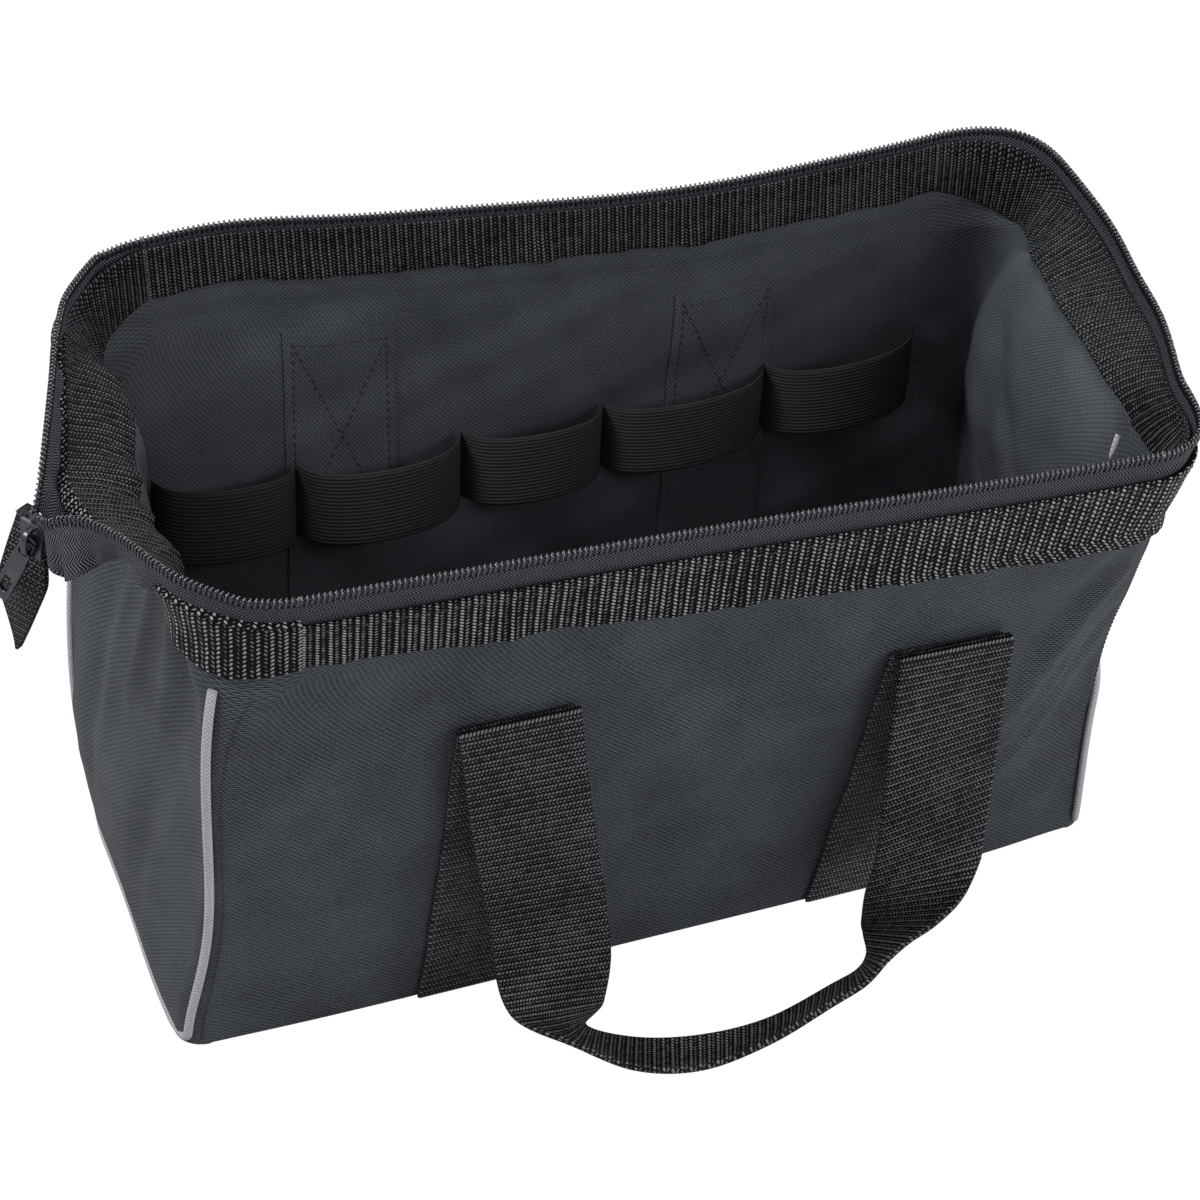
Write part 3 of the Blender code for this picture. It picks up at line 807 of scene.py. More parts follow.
def rod(
    name: str, route: Array, across: tuple[Array, Array], halves: Pair, sides: int, finish: Finish
) -> Piece:
    """Sweeps an oval along a route.

    Args:
        name: the object's name.
        route: its centre line.
        across: the directions of the oval's two axes at each point.
        halves: half the oval's size along each.
        sides: points round it.
        finish: its finish.

    Returns:
        The object.
    """
    angle = np.arange(sides) / sides * math.tau
    ovals = zip(across, (halves[0] * np.cos(angle), halves[1] * np.sin(angle)))
    points = route[:, None] + sum(axis[:, None] * reach[None, :, None] for axis, reach in ovals)
    return loft(name, points, finish, strip_caps=False)


def ribbon(
    name: str,
    route: Array,
    wide: Array,
    section: Array,
    finish: Finish,
    cup: Optional[Array] = None,
    spread: Optional[Array] = None,
) -> Piece:
    """Sweeps a flat section along a route.

    Args:
        name: the object's name.
        route: the centre line.
        wide: the direction of its width at each point.
        section: pairs of sideways and outward places.
        finish: its finish.
        cup: how far the middle stands out from the edges at each point.
        spread: how wide it is at each point, as a share of the section; where it narrows it is gathered.

    Returns:
        The object.
    """
    along = directions(route)
    if spread is None:
        wide = wide - along * np.sum(wide * along, axis=1, keepdims=True)
    wide = unit(wide)
    out = unit(np.cross(along, wide))
    half = np.abs(section[:, 0]).max()
    rise = np.zeros(len(route)) if cup is None else cup
    outward = section[None, :, 1] + rise[:, None] * (1 - (section[None, :, 0] / half) ** 2)
    share = np.ones(len(route)) if spread is None else spread
    outward = outward * (1.0 + GATHER * (1.0 - share))[:, None]
    sideways = section[None, :, :1] * share[:, None, None]
    points = route[:, None] + wide[:, None] * sideways + out[:, None] * outward[:, :, None]
    return loft(name, points, finish, strip_caps=False, spread=spread)


def plate(name: str, outline: Sequence, middle: float, half: float, finish: Finish) -> Piece:
    """Extrudes an upright outline along x.

    Args:
        name: the object's name.
        outline: pairs of y and z.
        middle: its middle's x.
        half: half its thickness.
        finish: its finish.

    Returns:
        The object.
    """
    faces = [np.insert(np.asarray(outline, float), 0, middle + reach, axis=1) for reach in (-half, half)]
    return loft(name, np.stack(faces), finish, strip_caps=False)


def soften(piece: Piece, width: float) -> Piece:
    """Rounds a hard piece's edges and keeps the result as its mesh.

    Args:
        piece: the object.
        width: the radius.

    Returns:
        The same object.
    """
    bevel = piece.modifiers.new("soften", "BEVEL")
    bevel.width = width
    bevel.segments = 2
    bevel.limit_method = "ANGLE"
    bevel.angle_limit = math.radians(SHARP_EDGE)
    return bake(piece)


def bake(piece: Piece) -> Piece:
    """Replaces an object's mesh with what its modifiers make of it.

    Args:
        piece: the object.

    Returns:
        The same object, with no modifiers.
    """
    bpy.context.view_layer.update()
    evaluated = piece.evaluated_get(bpy.context.evaluated_depsgraph_get())
    mesh = bpy.data.meshes.new_from_object(evaluated)
    mesh.name = piece.name
    for modifier in list(piece.modifiers):
        piece.modifiers.remove(modifier)
    piece.data = mesh
    return piece


def joined(name: str, parts: Sequence[Piece], operation: str = "UNION") -> Piece:
    """Unites solids with the first one, or cuts them from it.

    Args:
        name: the result's name.
        parts: the solids.
        operation: the Boolean operation.

    Returns:
        The result.
    """
    first, *rest = parts
    for part in rest:
        step = first.modifiers.new(operation.lower(), "BOOLEAN")
        step.operation = operation
        step.object = part
    bake(first)
    for part in rest:
        bpy.data.objects.remove(part, do_unlink=True)
    first.name = name
    first.data.name = name
    return first


# Geometry nodes


class Growth(Nodes):
    """A geometry-nodes tree with named inputs that grows pieces along a path."""

    def __init__(self, name: str, numbers: Sequence[str]) -> None:
        """Starts a tree with a material input, Finish.

        Args:
            name: the tree's name.
            numbers: the names of its number inputs.
        """
        super().__init__(bpy.data.node_groups.new(name, "GeometryNodeTree"))
        self.tree.interface.new_socket("Geometry", in_out="INPUT", socket_type="NodeSocketGeometry")
        kinds = {**dict.fromkeys(numbers, "NodeSocketFloat"), "Finish": "NodeSocketMaterial"}
        self.sockets = {
            key: self.tree.interface.new_socket(key, in_out="INPUT", socket_type=kind).identifier
            for key, kind in kinds.items()
        }
        self.tree.interface.new_socket("Geometry", in_out="OUTPUT", socket_type="NodeSocketGeometry")
        self.source = self.tree.nodes.new("NodeGroupInput")
        self.sink = self.tree.nodes.new("NodeGroupOutput")

    def vector(self, operation: str, *operands: object) -> bpy.types.NodeSocket:
        """Returns: the result of a vector maths node.

        Args:
            operation: its operation.
            operands: its inputs; the second one of SCALE goes to its Scale socket.
        """
        made = self.node("ShaderNodeVectorMath", operation=operation)
        for place, operand in enumerate(operands):
            self.feed(made.inputs["Scale" if operation == "SCALE" and place == 1 else place], operand)
        return made.outputs[0]

    def path(self, step: bpy.types.NodeSocket) -> bpy.types.NodeSocket:
        """Returns: the input path as a curve with points a step apart.

        Args:
            step: the distance between points.
        """
        curve = self.node("GeometryNodeMeshToCurve", {"Mesh": self.source.outputs["Geometry"]})
        inputs = {"Curve": curve.outputs[0], "Length": step}
        return self.node("GeometryNodeResampleCurve", inputs, mode="LENGTH").outputs[0]

    def finish(self, geometry: bpy.types.NodeSocket) -> None:
        """Realises the geometry, gives it its material and sends it out.

        Args:
            geometry: what was grown.
        """
        real = self.node("GeometryNodeRealizeInstances", {"Geometry": geometry})
        inputs = {"Geometry": real.outputs[0], "Material": self.source.outputs["Finish"]}
        self.feed(self.sink.inputs[0], self.node("GeometryNodeSetMaterial", inputs).outputs[0])

    def grow(self, name: str, paths: Sequence[Array], finish: Finish, **values: float) -> Piece:
        """Runs the tree over paths and returns a plain mesh.

        Args:
            name: the object's name.
            paths: lines of points.
            finish: the finish.
            values: the tree's inputs, with underscores for spaces.

        Returns:
            The object.
        """
        points: list = []
        edges: list = []
        for line in paths:
            start = len(points)
            points += np.asarray(line, float).tolist()
            edges += [(start + step, start + step + 1) for step in range(len(line) - 1)]
        mesh = bpy.data.meshes.new(name + "_path")
        mesh.from_pydata(points, edges, [])
        holder = placed(name + "_path", mesh)
        modifier = holder.modifiers.new("growth", "NODES")
        modifier.node_group = self.tree
        for key, value in values.items():
            modifier[self.sockets[key.replace("_", " ")]] = value
        modifier[self.sockets["Finish"]] = finish.material()
        grown = bake(holder).data
        grown.name = name
        bpy.data.objects.remove(holder, do_unlink=True)
        return finished(name, grown, finish, angle=60.0)


class CoilGrowth(Growth):
    """Winds one strand round a path, as the half of a nylon coil zip."""

    def __init__(self) -> None:
        """Builds the tree."""
        super().__init__("zip_coil_growth", ("Pitch", "Half Thickness", "Half Height", "Strand"))
        given = self.source.outputs
        curve = self.path(self.value("DIVIDE", given["Pitch"], 10.0))
        reach = self.node("GeometryNodeSplineParameter").outputs["Length"]
        angle = self.value("DIVIDE", self.value("MULTIPLY", reach, math.tau), given["Pitch"])
        along = self.node("GeometryNodeInputTangent").outputs[0]
        side = self.vector("NORMALIZE", self.vector("CROSS_PRODUCT", along, (0.0, 0.0, 1.0)))
        up = self.vector("CROSS_PRODUCT", side, along)
        sideways = self.value("MULTIPLY", self.value("COSINE", angle), given["Half Thickness"])
        upwards = self.value("MULTIPLY", self.value("SINE", angle), given["Half Height"])
        shift = self.vector("ADD", self.vector("SCALE", side, sideways), self.vector("SCALE", up, upwards))
        wound = self.node("GeometryNodeSetPosition", {"Geometry": curve, "Offset": shift})
        section = self.node(
            "GeometryNodeCurvePrimitiveCircle", {"Resolution": 6, "Radius": given["Strand"]}, mode="RADIUS"
        )
        strand = self.node(
            "GeometryNodeCurveToMesh",
            {"Curve": wound.outputs[0], "Profile Curve": section.outputs[0], "Fill Caps": True},
        )
        self.finish(strand.outputs[0])


class StitchGrowth(Growth):
    """Sets a row of stitches along a path."""

    def __init__(self) -> None:
        """Builds the tree."""
        super().__init__("stitch_growth", ("Spacing", "Stitch", "Thread"))
        given = self.source.outputs
        curve = self.path(given["Spacing"])
        bead = self.node("GeometryNodeMeshUVSphere", {"Segments": 6, "Rings": 5, "Radius": 1.0})
        halves = {0: self.value("MULTIPLY", given["Stitch"], 0.5), 1: given["Thread"], 2: given["Thread"]}
        size = self.node("ShaderNodeCombineXYZ", halves).outputs[0]
        along = self.node("GeometryNodeInputTangent").outputs[0]
        turn = self.node("FunctionNodeAlignRotationToVector", {"Vector": along}, axis="X").outputs[0]
        inputs = {"Points": curve, "Instance": bead.outputs[0], "Rotation": turn, "Scale": size}
        self.finish(self.node("GeometryNodeInstanceOnPoints", inputs).outputs[0])


# The bag's form


@dataclass(frozen=True)
class EndShape:
    """How one soft end leans out, bows out, dips at the mouth and slumps inwards below it.

    The bows and shares give the extra length and the part of the slump at places round the end.
    The slump gives how far the cloth is drawn in and its height, at heights up the flat cloth.
    """

    flare: float
    dip: float
    power: float
    bows: tuple[Pair, ...]
    shares: tuple[Pair, ...]
    slump: tuple[Place, ...]

    def round_end(self, table: tuple, turn: Array) -> Array:
        """Reads a table of places round the end.

        Args:
            table: the table.
            turn: places round the end.

        Returns:
            Its values there.
        """
        line = through(table, 240)
        return np.interp(turn, line[:, 0], line[:, 1])

    def hang(self, turn: Array, z: Array) -> tuple[Array, Array, Array, Array]:
        """Works out where the cloth hangs under the rim.

        Args:
            turn: places round the end.
            z: heights up the flat cloth.

        Returns:
            How far it is drawn in, its height, and its outward direction across and up.
        """
        crest = self.round_end(self.shares, turn)
        line = through(self.slump, 240)
        drawn, risen = (np.interp(z, line[:, 0], line[:, column]) for column in (1, 2))
        inwards, upwards = (np.gradient(line[:, column], line[:, 0]) for column in (1, 2))
        lean = np.interp(z, line[:, 0], inwards) * crest
        climb = 1.0 + (np.interp(z, line[:, 0], upwards) - 1.0) * crest
        size = np.hypot(lean, climb)
        return drawn * crest, z + (risen - z) * crest, climb / size, lean / size


@dataclass(frozen=True)
class Pull:
    """A soft push or pull on the cloth round one place."""

    at: Place
    move: Place
    reach: Place

    def shift(self, points: Array) -> Array:
        """Measures the pull.

        Args:
            points: places on the bag.

        Returns:
            How far each place moves.
        """
        away = (points - np.array(self.at)) / np.array(self.reach)
        return np.exp(-np.sum(away**2, axis=-1))[..., None] * np.array(self.move)


@dataclass(frozen=True)
class Fold:
    """A soft ridge or crease on a surface, between two places on it."""

    start: Pair
    finish: Pair
    width: float
    depth: float

    def height(self, x: Array, z: Array) -> Array:
        """Measures the fold.

        Args:
            x: distances along the surface.
            z: heights.

        Returns:
            How far the surface stands out.
        """
        first, last = np.array(self.start), np.array(self.finish)
        line = last - first
        share = ((x - first[0]) * line[0] + (z - first[1]) * line[1]) / (line @ line)
        near = np.clip(share, 0.0, 1.0)
        distance = np.hypot(x - first[0] - near * line[0], z - first[1] - near * line[1])
        taper = 0.35 + 0.65 * np.sin(math.pi * near) ** 0.7
        return self.depth * taper * np.exp(-((distance / self.width) ** 2))


LEFT_END = EndShape(
    flare=0.010,
    dip=0.008,
    power=0.9,
    bows=(
        (-1.0, 0.0), (-0.85, 0.0004), (-0.64, 0.0036), (-0.50, 0.0088), (-0.38, 0.0142), (-0.26, 0.0185),
        (-0.10, 0.0203), (0.04, 0.0190), (0.22, 0.0145), (0.49, 0.0087), (0.70, 0.0035), (0.86, 0.0008),
        (1.0, 0.0),
    ),
    shares=(
        (-1.0, 0.0), (-0.86, 0.02), (-0.75, 0.13), (-0.63, 0.38), (-0.50, 0.64), (-0.40, 0.82),
        (-0.28, 0.95), (-0.12, 1.0), (0.10, 1.0), (0.30, 1.0), (0.50, 0.88), (0.64, 0.60), (0.78, 0.20),
        (0.90, 0.02), (1.0, 0.0),
    ),
    slump=(
        (-0.002, 0.0, -0.002), (0.020, 0.0002, 0.020), (0.045, 0.0016, 0.0453), (0.070, 0.0052, 0.0730),
        (0.095, 0.0115, 0.1020), (0.120, 0.0180, 0.1300), (0.140, 0.0220, 0.1520), (0.158, 0.0230, 0.1715),
        (0.172, 0.0195, 0.1840), (0.184, 0.0112, 0.1915), (0.1935, 0.0030, 0.1955), (0.199, 0.0, 0.199),
        (0.204, 0.0, 0.204), (0.210, 0.0, 0.210),
    ),
)
RIGHT_END = EndShape(
    flare=0.002,
    dip=0.004,
    power=1.5,
    bows=(
        (-1.0, 0.0), (-0.84, -0.0026), (-0.67, -0.0026), (-0.45, 0.0018), (-0.19, 0.0046), (0.08, 0.0048),
        (0.33, 0.0044), (0.57, 0.0036), (0.76, 0.0012), (0.90, 0.0002), (1.0, 0.0),
    ),
    shares=(
        (-1.0, 0.0), (-0.87, 0.03), (-0.76, 0.22), (-0.64, 0.60), (-0.50, 0.92), (-0.30, 1.0), (0.0, 0.95),
        (0.25, 0.80), (0.45, 0.62), (0.62, 0.40), (0.78, 0.14), (0.90, 0.02), (1.0, 0.0),
    ),
    slump=(
        (-0.002, 0.0, -0.002), (0.020, 0.0004, 0.020), (0.045, 0.0040, 0.0455), (0.070, 0.0125, 0.0735),
        (0.095, 0.0240, 0.1040), (0.120, 0.0340, 0.1365), (0.140, 0.0365, 0.1630), (0.158, 0.0320, 0.1820),
        (0.172, 0.0235, 0.1925), (0.184, 0.0125, 0.1960), (0.1935, 0.0035, 0.1970), (0.199, 0.0, 0.1995),
        (0.204, 0.0, 0.204), (0.210, 0.0, 0.210),
    ),
)


@dataclass(frozen=True)
class BagForm:
    """The bag's shape, as places on its walls and ends at a height and an offset outwards."""

    length: float = 0.328
    base_depth: float = 0.118
    mouth_depth: float = 0.188
    rim_height: float = 0.208
    fold_height: float = 0.0035
    base_corner: float = 0.008
    rim_corner: float = 0.032
    corner_power: float = 8.0
    band_bottom: float = 0.172
    band_top: float = 0.197
    arc_share: float = 0.36
    yaw: float = 0.045
    yaw_heights: Pair = (0.010, 0.175)
    corner_drop: float = 0.0025
    lining_step: float = 0.0009
    shapes: dict[End, EndShape] = field(default_factory=lambda: {End.LEFT: LEFT_END, End.RIGHT: RIGHT_END})
    pulls: tuple[Pull, ...] = (
        Pull((0.040, 0.092, 0.207), (0.0, -0.0100, -0.0006), (0.080, 0.040, 0.090)),
        Pull((-0.115, 0.092, 0.207), (0.0, 0.0050, 0.0010), (0.035, 0.040, 0.080)),
        Pull((0.157, 0.083, 0.207), (0.0085, 0.0045, 0.0), (0.024, 0.030, 0.070)),
        Pull((0.170, 0.030, 0.207), (0.0050, 0.0, 0.0), (0.024, 0.030, 0.070)),
        Pull((0.167, -0.058, 0.207), (-0.0060, 0.0, 0.0), (0.018, 0.030, 0.060)),
        Pull((-0.166, -0.050, 0.0), (-0.0100, 0.0010, 0.0), (0.030, 0.060, 0.045)),
        Pull((-0.175, 0.055, 0.050), (-0.0110, 0.0, 0.0), (0.050, 0.075, 0.085)),
        Pull((0.165, -0.078, 0.100), (-0.0072, 0.0180, 0.0), (0.036, 0.040, 0.055)),
        Pull((0.160, -0.075, 0.151), (-0.0062, 0.0, 0.0), (0.034, 0.036, 0.028)),
        Pull((0.164, -0.062, 0.045), (-0.0068, 0.0, 0.0), (0.040, 0.045, 0.042)),
        Pull((0.164, -0.055, 0.0), (-0.0022, 0.0030, 0.0), (0.036, 0.045, 0.045)),
    )
    front_folds: tuple[Fold, ...] = (
        Fold((0.156, 0.160), (0.104, 0.078), 0.0062, 0.0048),
        Fold((0.160, 0.132), (0.104, 0.060), 0.0055, 0.0040),
        Fold((0.158, 0.104), (0.104, 0.044), 0.0050, 0.0036),
        Fold((0.138, 0.158), (0.102, 0.102), 0.0070, -0.0036),
        Fold((0.158, 0.118), (0.106, 0.052), 0.0060, -0.0026),
        Fold((0.158, 0.086), (0.120, 0.034), 0.0070, -0.0024),
        Fold((-0.020, 0.160), (0.010, 0.110), 0.0160, -0.0026),
        Fold((0.028, 0.158), (0.044, 0.136), 0.0100, 0.0022),
        Fold((-0.120, 0.165), (-0.100, 0.135), 0.0120, -0.0020),
        Fold((-0.044, 0.162), (-0.030, 0.135), 0.0090, 0.0018),
        Fold((-0.145, 0.130), (-0.130, 0.040), 0.0140, 0.0016),
        Fold((-0.030, 0.075), (0.040, 0.060), 0.0200, -0.0014),
    )
    end_folds: dict[End, tuple[Fold, ...]] = field(
        default_factory=lambda: {
            End.LEFT: (
                Fold((0.018, 0.176), (0.024, 0.070), 0.0060, 0.0026),
                Fold((-0.006, 0.176), (0.004, 0.090), 0.0050, 0.0022),
                Fold((-0.024, 0.170), (-0.020, 0.100), 0.0050, 0.0018),
                Fold((0.034, 0.150), (0.040, 0.040), 0.0080, -0.0024),
                Fold((-0.040, 0.165), (-0.012, 0.030), 0.0090, -0.0028),
            ),
            End.RIGHT: (
                Fold((0.050, 0.165), (0.010, 0.075), 0.0100, -0.0035),
                Fold((-0.020, 0.160), (0.000, 0.060), 0.0120, -0.0035),
                Fold((0.034, 0.150), (-0.030, 0.118), 0.0070, 0.0022),
            ),
        }
    )

    def half_depth(self, z: Array) -> Array:
        """Returns: the distance from the middle to a long wall's face.

        Args:
            z: heights.
        """
        lean = (self.mouth_depth - self.base_depth) / 2 / (self.rim_height - self.fold_height)
        return self.base_depth / 2 + (z - self.fold_height) * lean

    def radius(self, z: Array) -> Array:
        """Returns: the radius of the corners in plan.

        Args:
            z: heights.
        """
        share = np.clip(z / self.band_bottom, 0.0, 1.0)
        return self.base_corner + (self.rim_corner - self.base_corner) * share**self.corner_power

    def half_length(self, z: Array, end: End) -> Array:
        """Returns: the distance from the middle to an end's face at its corners.

        Args:
            z: heights.
            end: which end.
        """
        return self.length / 2 + self.shapes[end].flare * z / self.rim_height

    def edge(self, z: Array, end: End) -> Array:
        """Returns: the x where a long wall meets an end's corner.

        Args:
            z: heights.
            end: which end.
        """
        return end.value * (self.half_length(z, end) - self.radius(z))

    def along(self, share: Array, z: Array) -> Array:
        """Returns: the x at a share of a long wall's length.

        Args:
            share: 0 at its left edge and 1 at its right.
            z: heights.
        """
        left, right = self.edge(z, End.LEFT), self.edge(z, End.RIGHT)
        return left + (right - left) * share

    def share(self, x: Array, z: Array) -> Array:
        """Returns: the share of a long wall's length at an x.

        Args:
            x: places along the wall.
            z: heights.
        """
        left, right = self.edge(z, End.LEFT), self.edge(z, End.RIGHT)
        return (x - left) / (right - left)

    def wall(self, share: Array, z: Array, out: Array, side: Side) -> Array:
        """Places points on a long wall.

        Args:
            share: 0 at its left edge and 1 at its right.
            z: heights.
            out: offsets outwards.
            side: which wall.

        Returns:
            The points.
        """
        x = self.along(share, z)
        y = side.value * (self.half_depth(z) + out)
        return self.settle(np.stack(np.broadcast_arrays(x, y, z), axis=-1))

    def end(self, turn: Array, z: Array, out: Array, end: End) -> Array:
        """Places points round an end.

        Args:
            turn: -1 at its front corner's start, 0 in its middle and 1 at its back.
            z: heights.
            out: offsets outwards.
            end: which end.

        Returns:
            The points.
        """
        turn, z, out = np.broadcast_arrays(np.asarray(turn, float), z, out)
        radius, length, depth = self.radius(z), self.half_length(z, end), self.half_depth(z)
        flat = 1.0 - self.arc_share
        angle = np.clip((1.0 - np.abs(turn)) / self.arc_share, 0.0, 1.0) * (math.pi / 2)
        shape = self.shapes[end]
        across = length - radius + (radius + out) * np.sin(angle)
        along = np.sign(turn) * (depth - radius + (radius + out) * np.cos(angle))
        share = np.clip(turn / flat, -1.0, 1.0)
        crest = np.cos(math.pi / 2 * share) ** 2
        rise = np.clip(z / self.rim_height, 0.0, 2.0)
        drawn, height, level, drop = shape.hang(turn, z)
        straight = np.abs(turn) < flat
        across = np.where(straight, length + out * level, across)
        across = across + shape.round_end(shape.bows, turn) * rise**shape.power - drawn
        along = np.where(straight, share * (depth - radius), along)
        height = height + out * drop - shape.dip * rise**2 * crest
        return self.settle(np.stack([end.value * across, along, height], axis=-1))

    def settle(self, points: Array) -> Array:
        """Lets the soft mouth sag and twist a little, the same for every piece on it.

        Args:
            points: places on the bag.

        Returns:
            Where the cloth has settled.
        """
        x, y, z = points[..., 0], points[..., 1], points[..., 2]
        twist = self.yaw * (1.0 - ease(z, *self.yaw_heights))
        near = ease(x, -0.05, 0.16) * ease(-y, 0.0, 0.08)
        drop = -self.corner_drop * near * (z / self.rim_height) ** 2
        turned = np.stack([x - y * twist, y + x * twist, z + drop], axis=-1)
        return turned + sum(pull.shift(points) for pull in self.pulls)

    def front_relief(self, x: Array, z: Array) -> Array:
        """Returns: how far the front wall's cloth stands out.

        Args:
            x: places along it.
            z: heights.
        """
        total = sum(fold.height(x, z) for fold in self.front_folds)
        waves = 0.0007 * wander(x + 0.4 * z, 3, 0.085) + 0.0005 * wander(z - 0.3 * x, 5, 0.060)
        return (total + waves) * ease(z, 0.004, 0.030) * ease(self.band_top - z, 0.0, 0.030)

    def lining_shift(self, z: Array) -> Array:
        """Returns: how much further in the lining lies at the rim, where it passes the frame wire.

        Args:
            z: heights.
        """
        return -self.lining_step * ease(z, 0.1775, 0.1835)

    def plain_relief(self, x: Array, z: Array, seed: int) -> Array:
        """Returns: gentle waves for the other cloth.

        Args:
            x: places along it.
            z: heights.
            seed: which waves.
        """
        waves = wander(x + 0.5 * z, seed, 0.070) + 0.7 * wander(z - 0.4 * x, seed + 1, 0.055)
        return 0.0011 * waves * ease(z, 0.004, 0.040) * ease(self.band_top - z, 0.0, 0.030)


@dataclass(frozen=True)
class Layer:
    """A layer of cloth: the offsets of its faces, its lower and upper height, and its finish."""

    word: str
    outer: float
    inner: float
    low: float
    high: float
    finish: Finish


@dataclass(frozen=True)
class Leaf(Layer):
    """A leaf of the binding band.

    The slope is how its lower edge rises along a long wall, and the wave how far that edge stands
    away from the cloth.
    """

    slope: float
    wave: float

    def section(self, across: int) -> tuple[Array, Array]:
        """Outlines the leaf.

        Args:
            across: steps over each face.

        Returns:
            The share of its height and the offset outwards at each place round it.
        """
        outline = rounded_section(0.5, (self.outer - self.inner) / 2 / BAND_DEPTH, across)
        return outline[None, :, 0] + 0.5, (self.outer + self.inner) / 2 + outline[None, :, 1] * BAND_DEPTH


@dataclass(frozen=True)
class Zip:
    """The zip's sizes, and where its halves lie on the mouth."""

    pitch: float = 0.00172
    half_thickness: float = 0.00085
    half_height: float = 0.00165
    strand: float = 0.00036
    cord: Pair = (0.00055, 0.00115)
    coil_height: float = 0.2062
    offset: float = -0.0010
    tape_height: float = 0.1990
    tape_half: float = 0.0066
    tape_half_thickness: float = 0.0004

    def tape(self) -> tuple[Array, Array]:
        """Returns: the heights and the offsets outwards round the tape's section."""
        outline = rounded_section(self.tape_half, self.tape_half_thickness, 8)
        return self.tape_height + outline[None, :, 0], self.offset + outline[None, :, 1]


FORM = BagForm()
ZIP = Zip()
BAND_DEPTH = 0.025
BAND_STITCH = (0.1940, 0.00175)
SHELL = Layer("shell", 0.0, -0.0009, 0.0006, 0.1862, Finishes.cloth)
LINING = Layer("lining", -0.0018, -0.0024, 0.0075, 0.1920, Finishes.lining)
OUTER_LEAF = Leaf("outer", 0.0017, 0.0005, 0.1718, 0.1970, Finishes.band, slope=-0.045, wave=0.0011)
INNER_LEAF = Leaf("inner", -0.0031, -0.0043, 0.1880, 0.2050, Finishes.inner_band, slope=0.0, wave=-0.0014)


def heights(low: float, high: float, count: int) -> Array:
    """Lists heights, closer together near the band where the corners open.

    Args:
        low: the lowest.
        high: the highest.
        count: how many steps.

    Returns:
        The heights.
    """
    share = np.linspace(0.0, 1.0, count + 1)
    return low + (high - low) * (0.7 * share + 0.3 * (1 - (1 - share) ** 2))


# Sub-assemblies


@dataclass
class Part:
    """A sub-assembly of the bag."""

    coils: CoilGrowth
    stitches: StitchGrowth

    def fasten(self, piece: Piece, body: str, node: str) -> None:
        """Ties a piece to one body.

        Args:
            piece: the piece.
            body: the body it rides on.
            node: the frame node it stands for.
        """
        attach(piece, body)
        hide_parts(node)

    def bend(self, piece: Piece, side: Side, node: str, start: float = 0.0) -> None:
        """Bakes a piece's placement into its mesh and hides the frame node it stands for; the piece is not
        bent or tied to a body, and the points worked out from side and start are not used.

        Args:
            piece: the piece.
            side: the wall.
            node: the frame node it stands for.
            start: how far from the middle the bend starts.
        """
        near, far = ((0, side.value * reach, BEND_HEIGHT) for reach in (start, BEND_REACH))
        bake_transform(piece)
        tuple(near)
        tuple(far)
        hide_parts(node)

    def sew(self, name: str, lines: Sequence[Array], spacing: float = 0.0030) -> Piece:
        """Sews rows of stitches.

        Args:
            name: the rows' name.
            lines: the rows.
            spacing: from stitch to stitch.

        Returns:
            The stitches.
        """
        sizes = {"Spacing": spacing, "Stitch": spacing * STITCH_SHARE, "Thread": THREAD_RADIUS}
        return self.stitches.grow(name, lines, Finishes.thread, **sizes)

    def coil(self, name: str, cord: str, line: Array) -> tuple[Piece, Piece]:
        """Winds a zip coil round its cord.

        Args:
            name: the coil's name.
            cord: the cord's name.
            line: their centre line.

        Returns:
            The coil and the cord.
        """
        sizes = {"Pitch": ZIP.pitch, "Half_Thickness": ZIP.half_thickness, "Half_Height": ZIP.half_height}
        wound = self.coils.grow(name, [line], Finishes.coil, Strand=ZIP.strand, **sizes)
        route = even(line, 240)
        return wound, rod(cord, route, upright(route), ZIP.cord, 8, Finishes.tape)


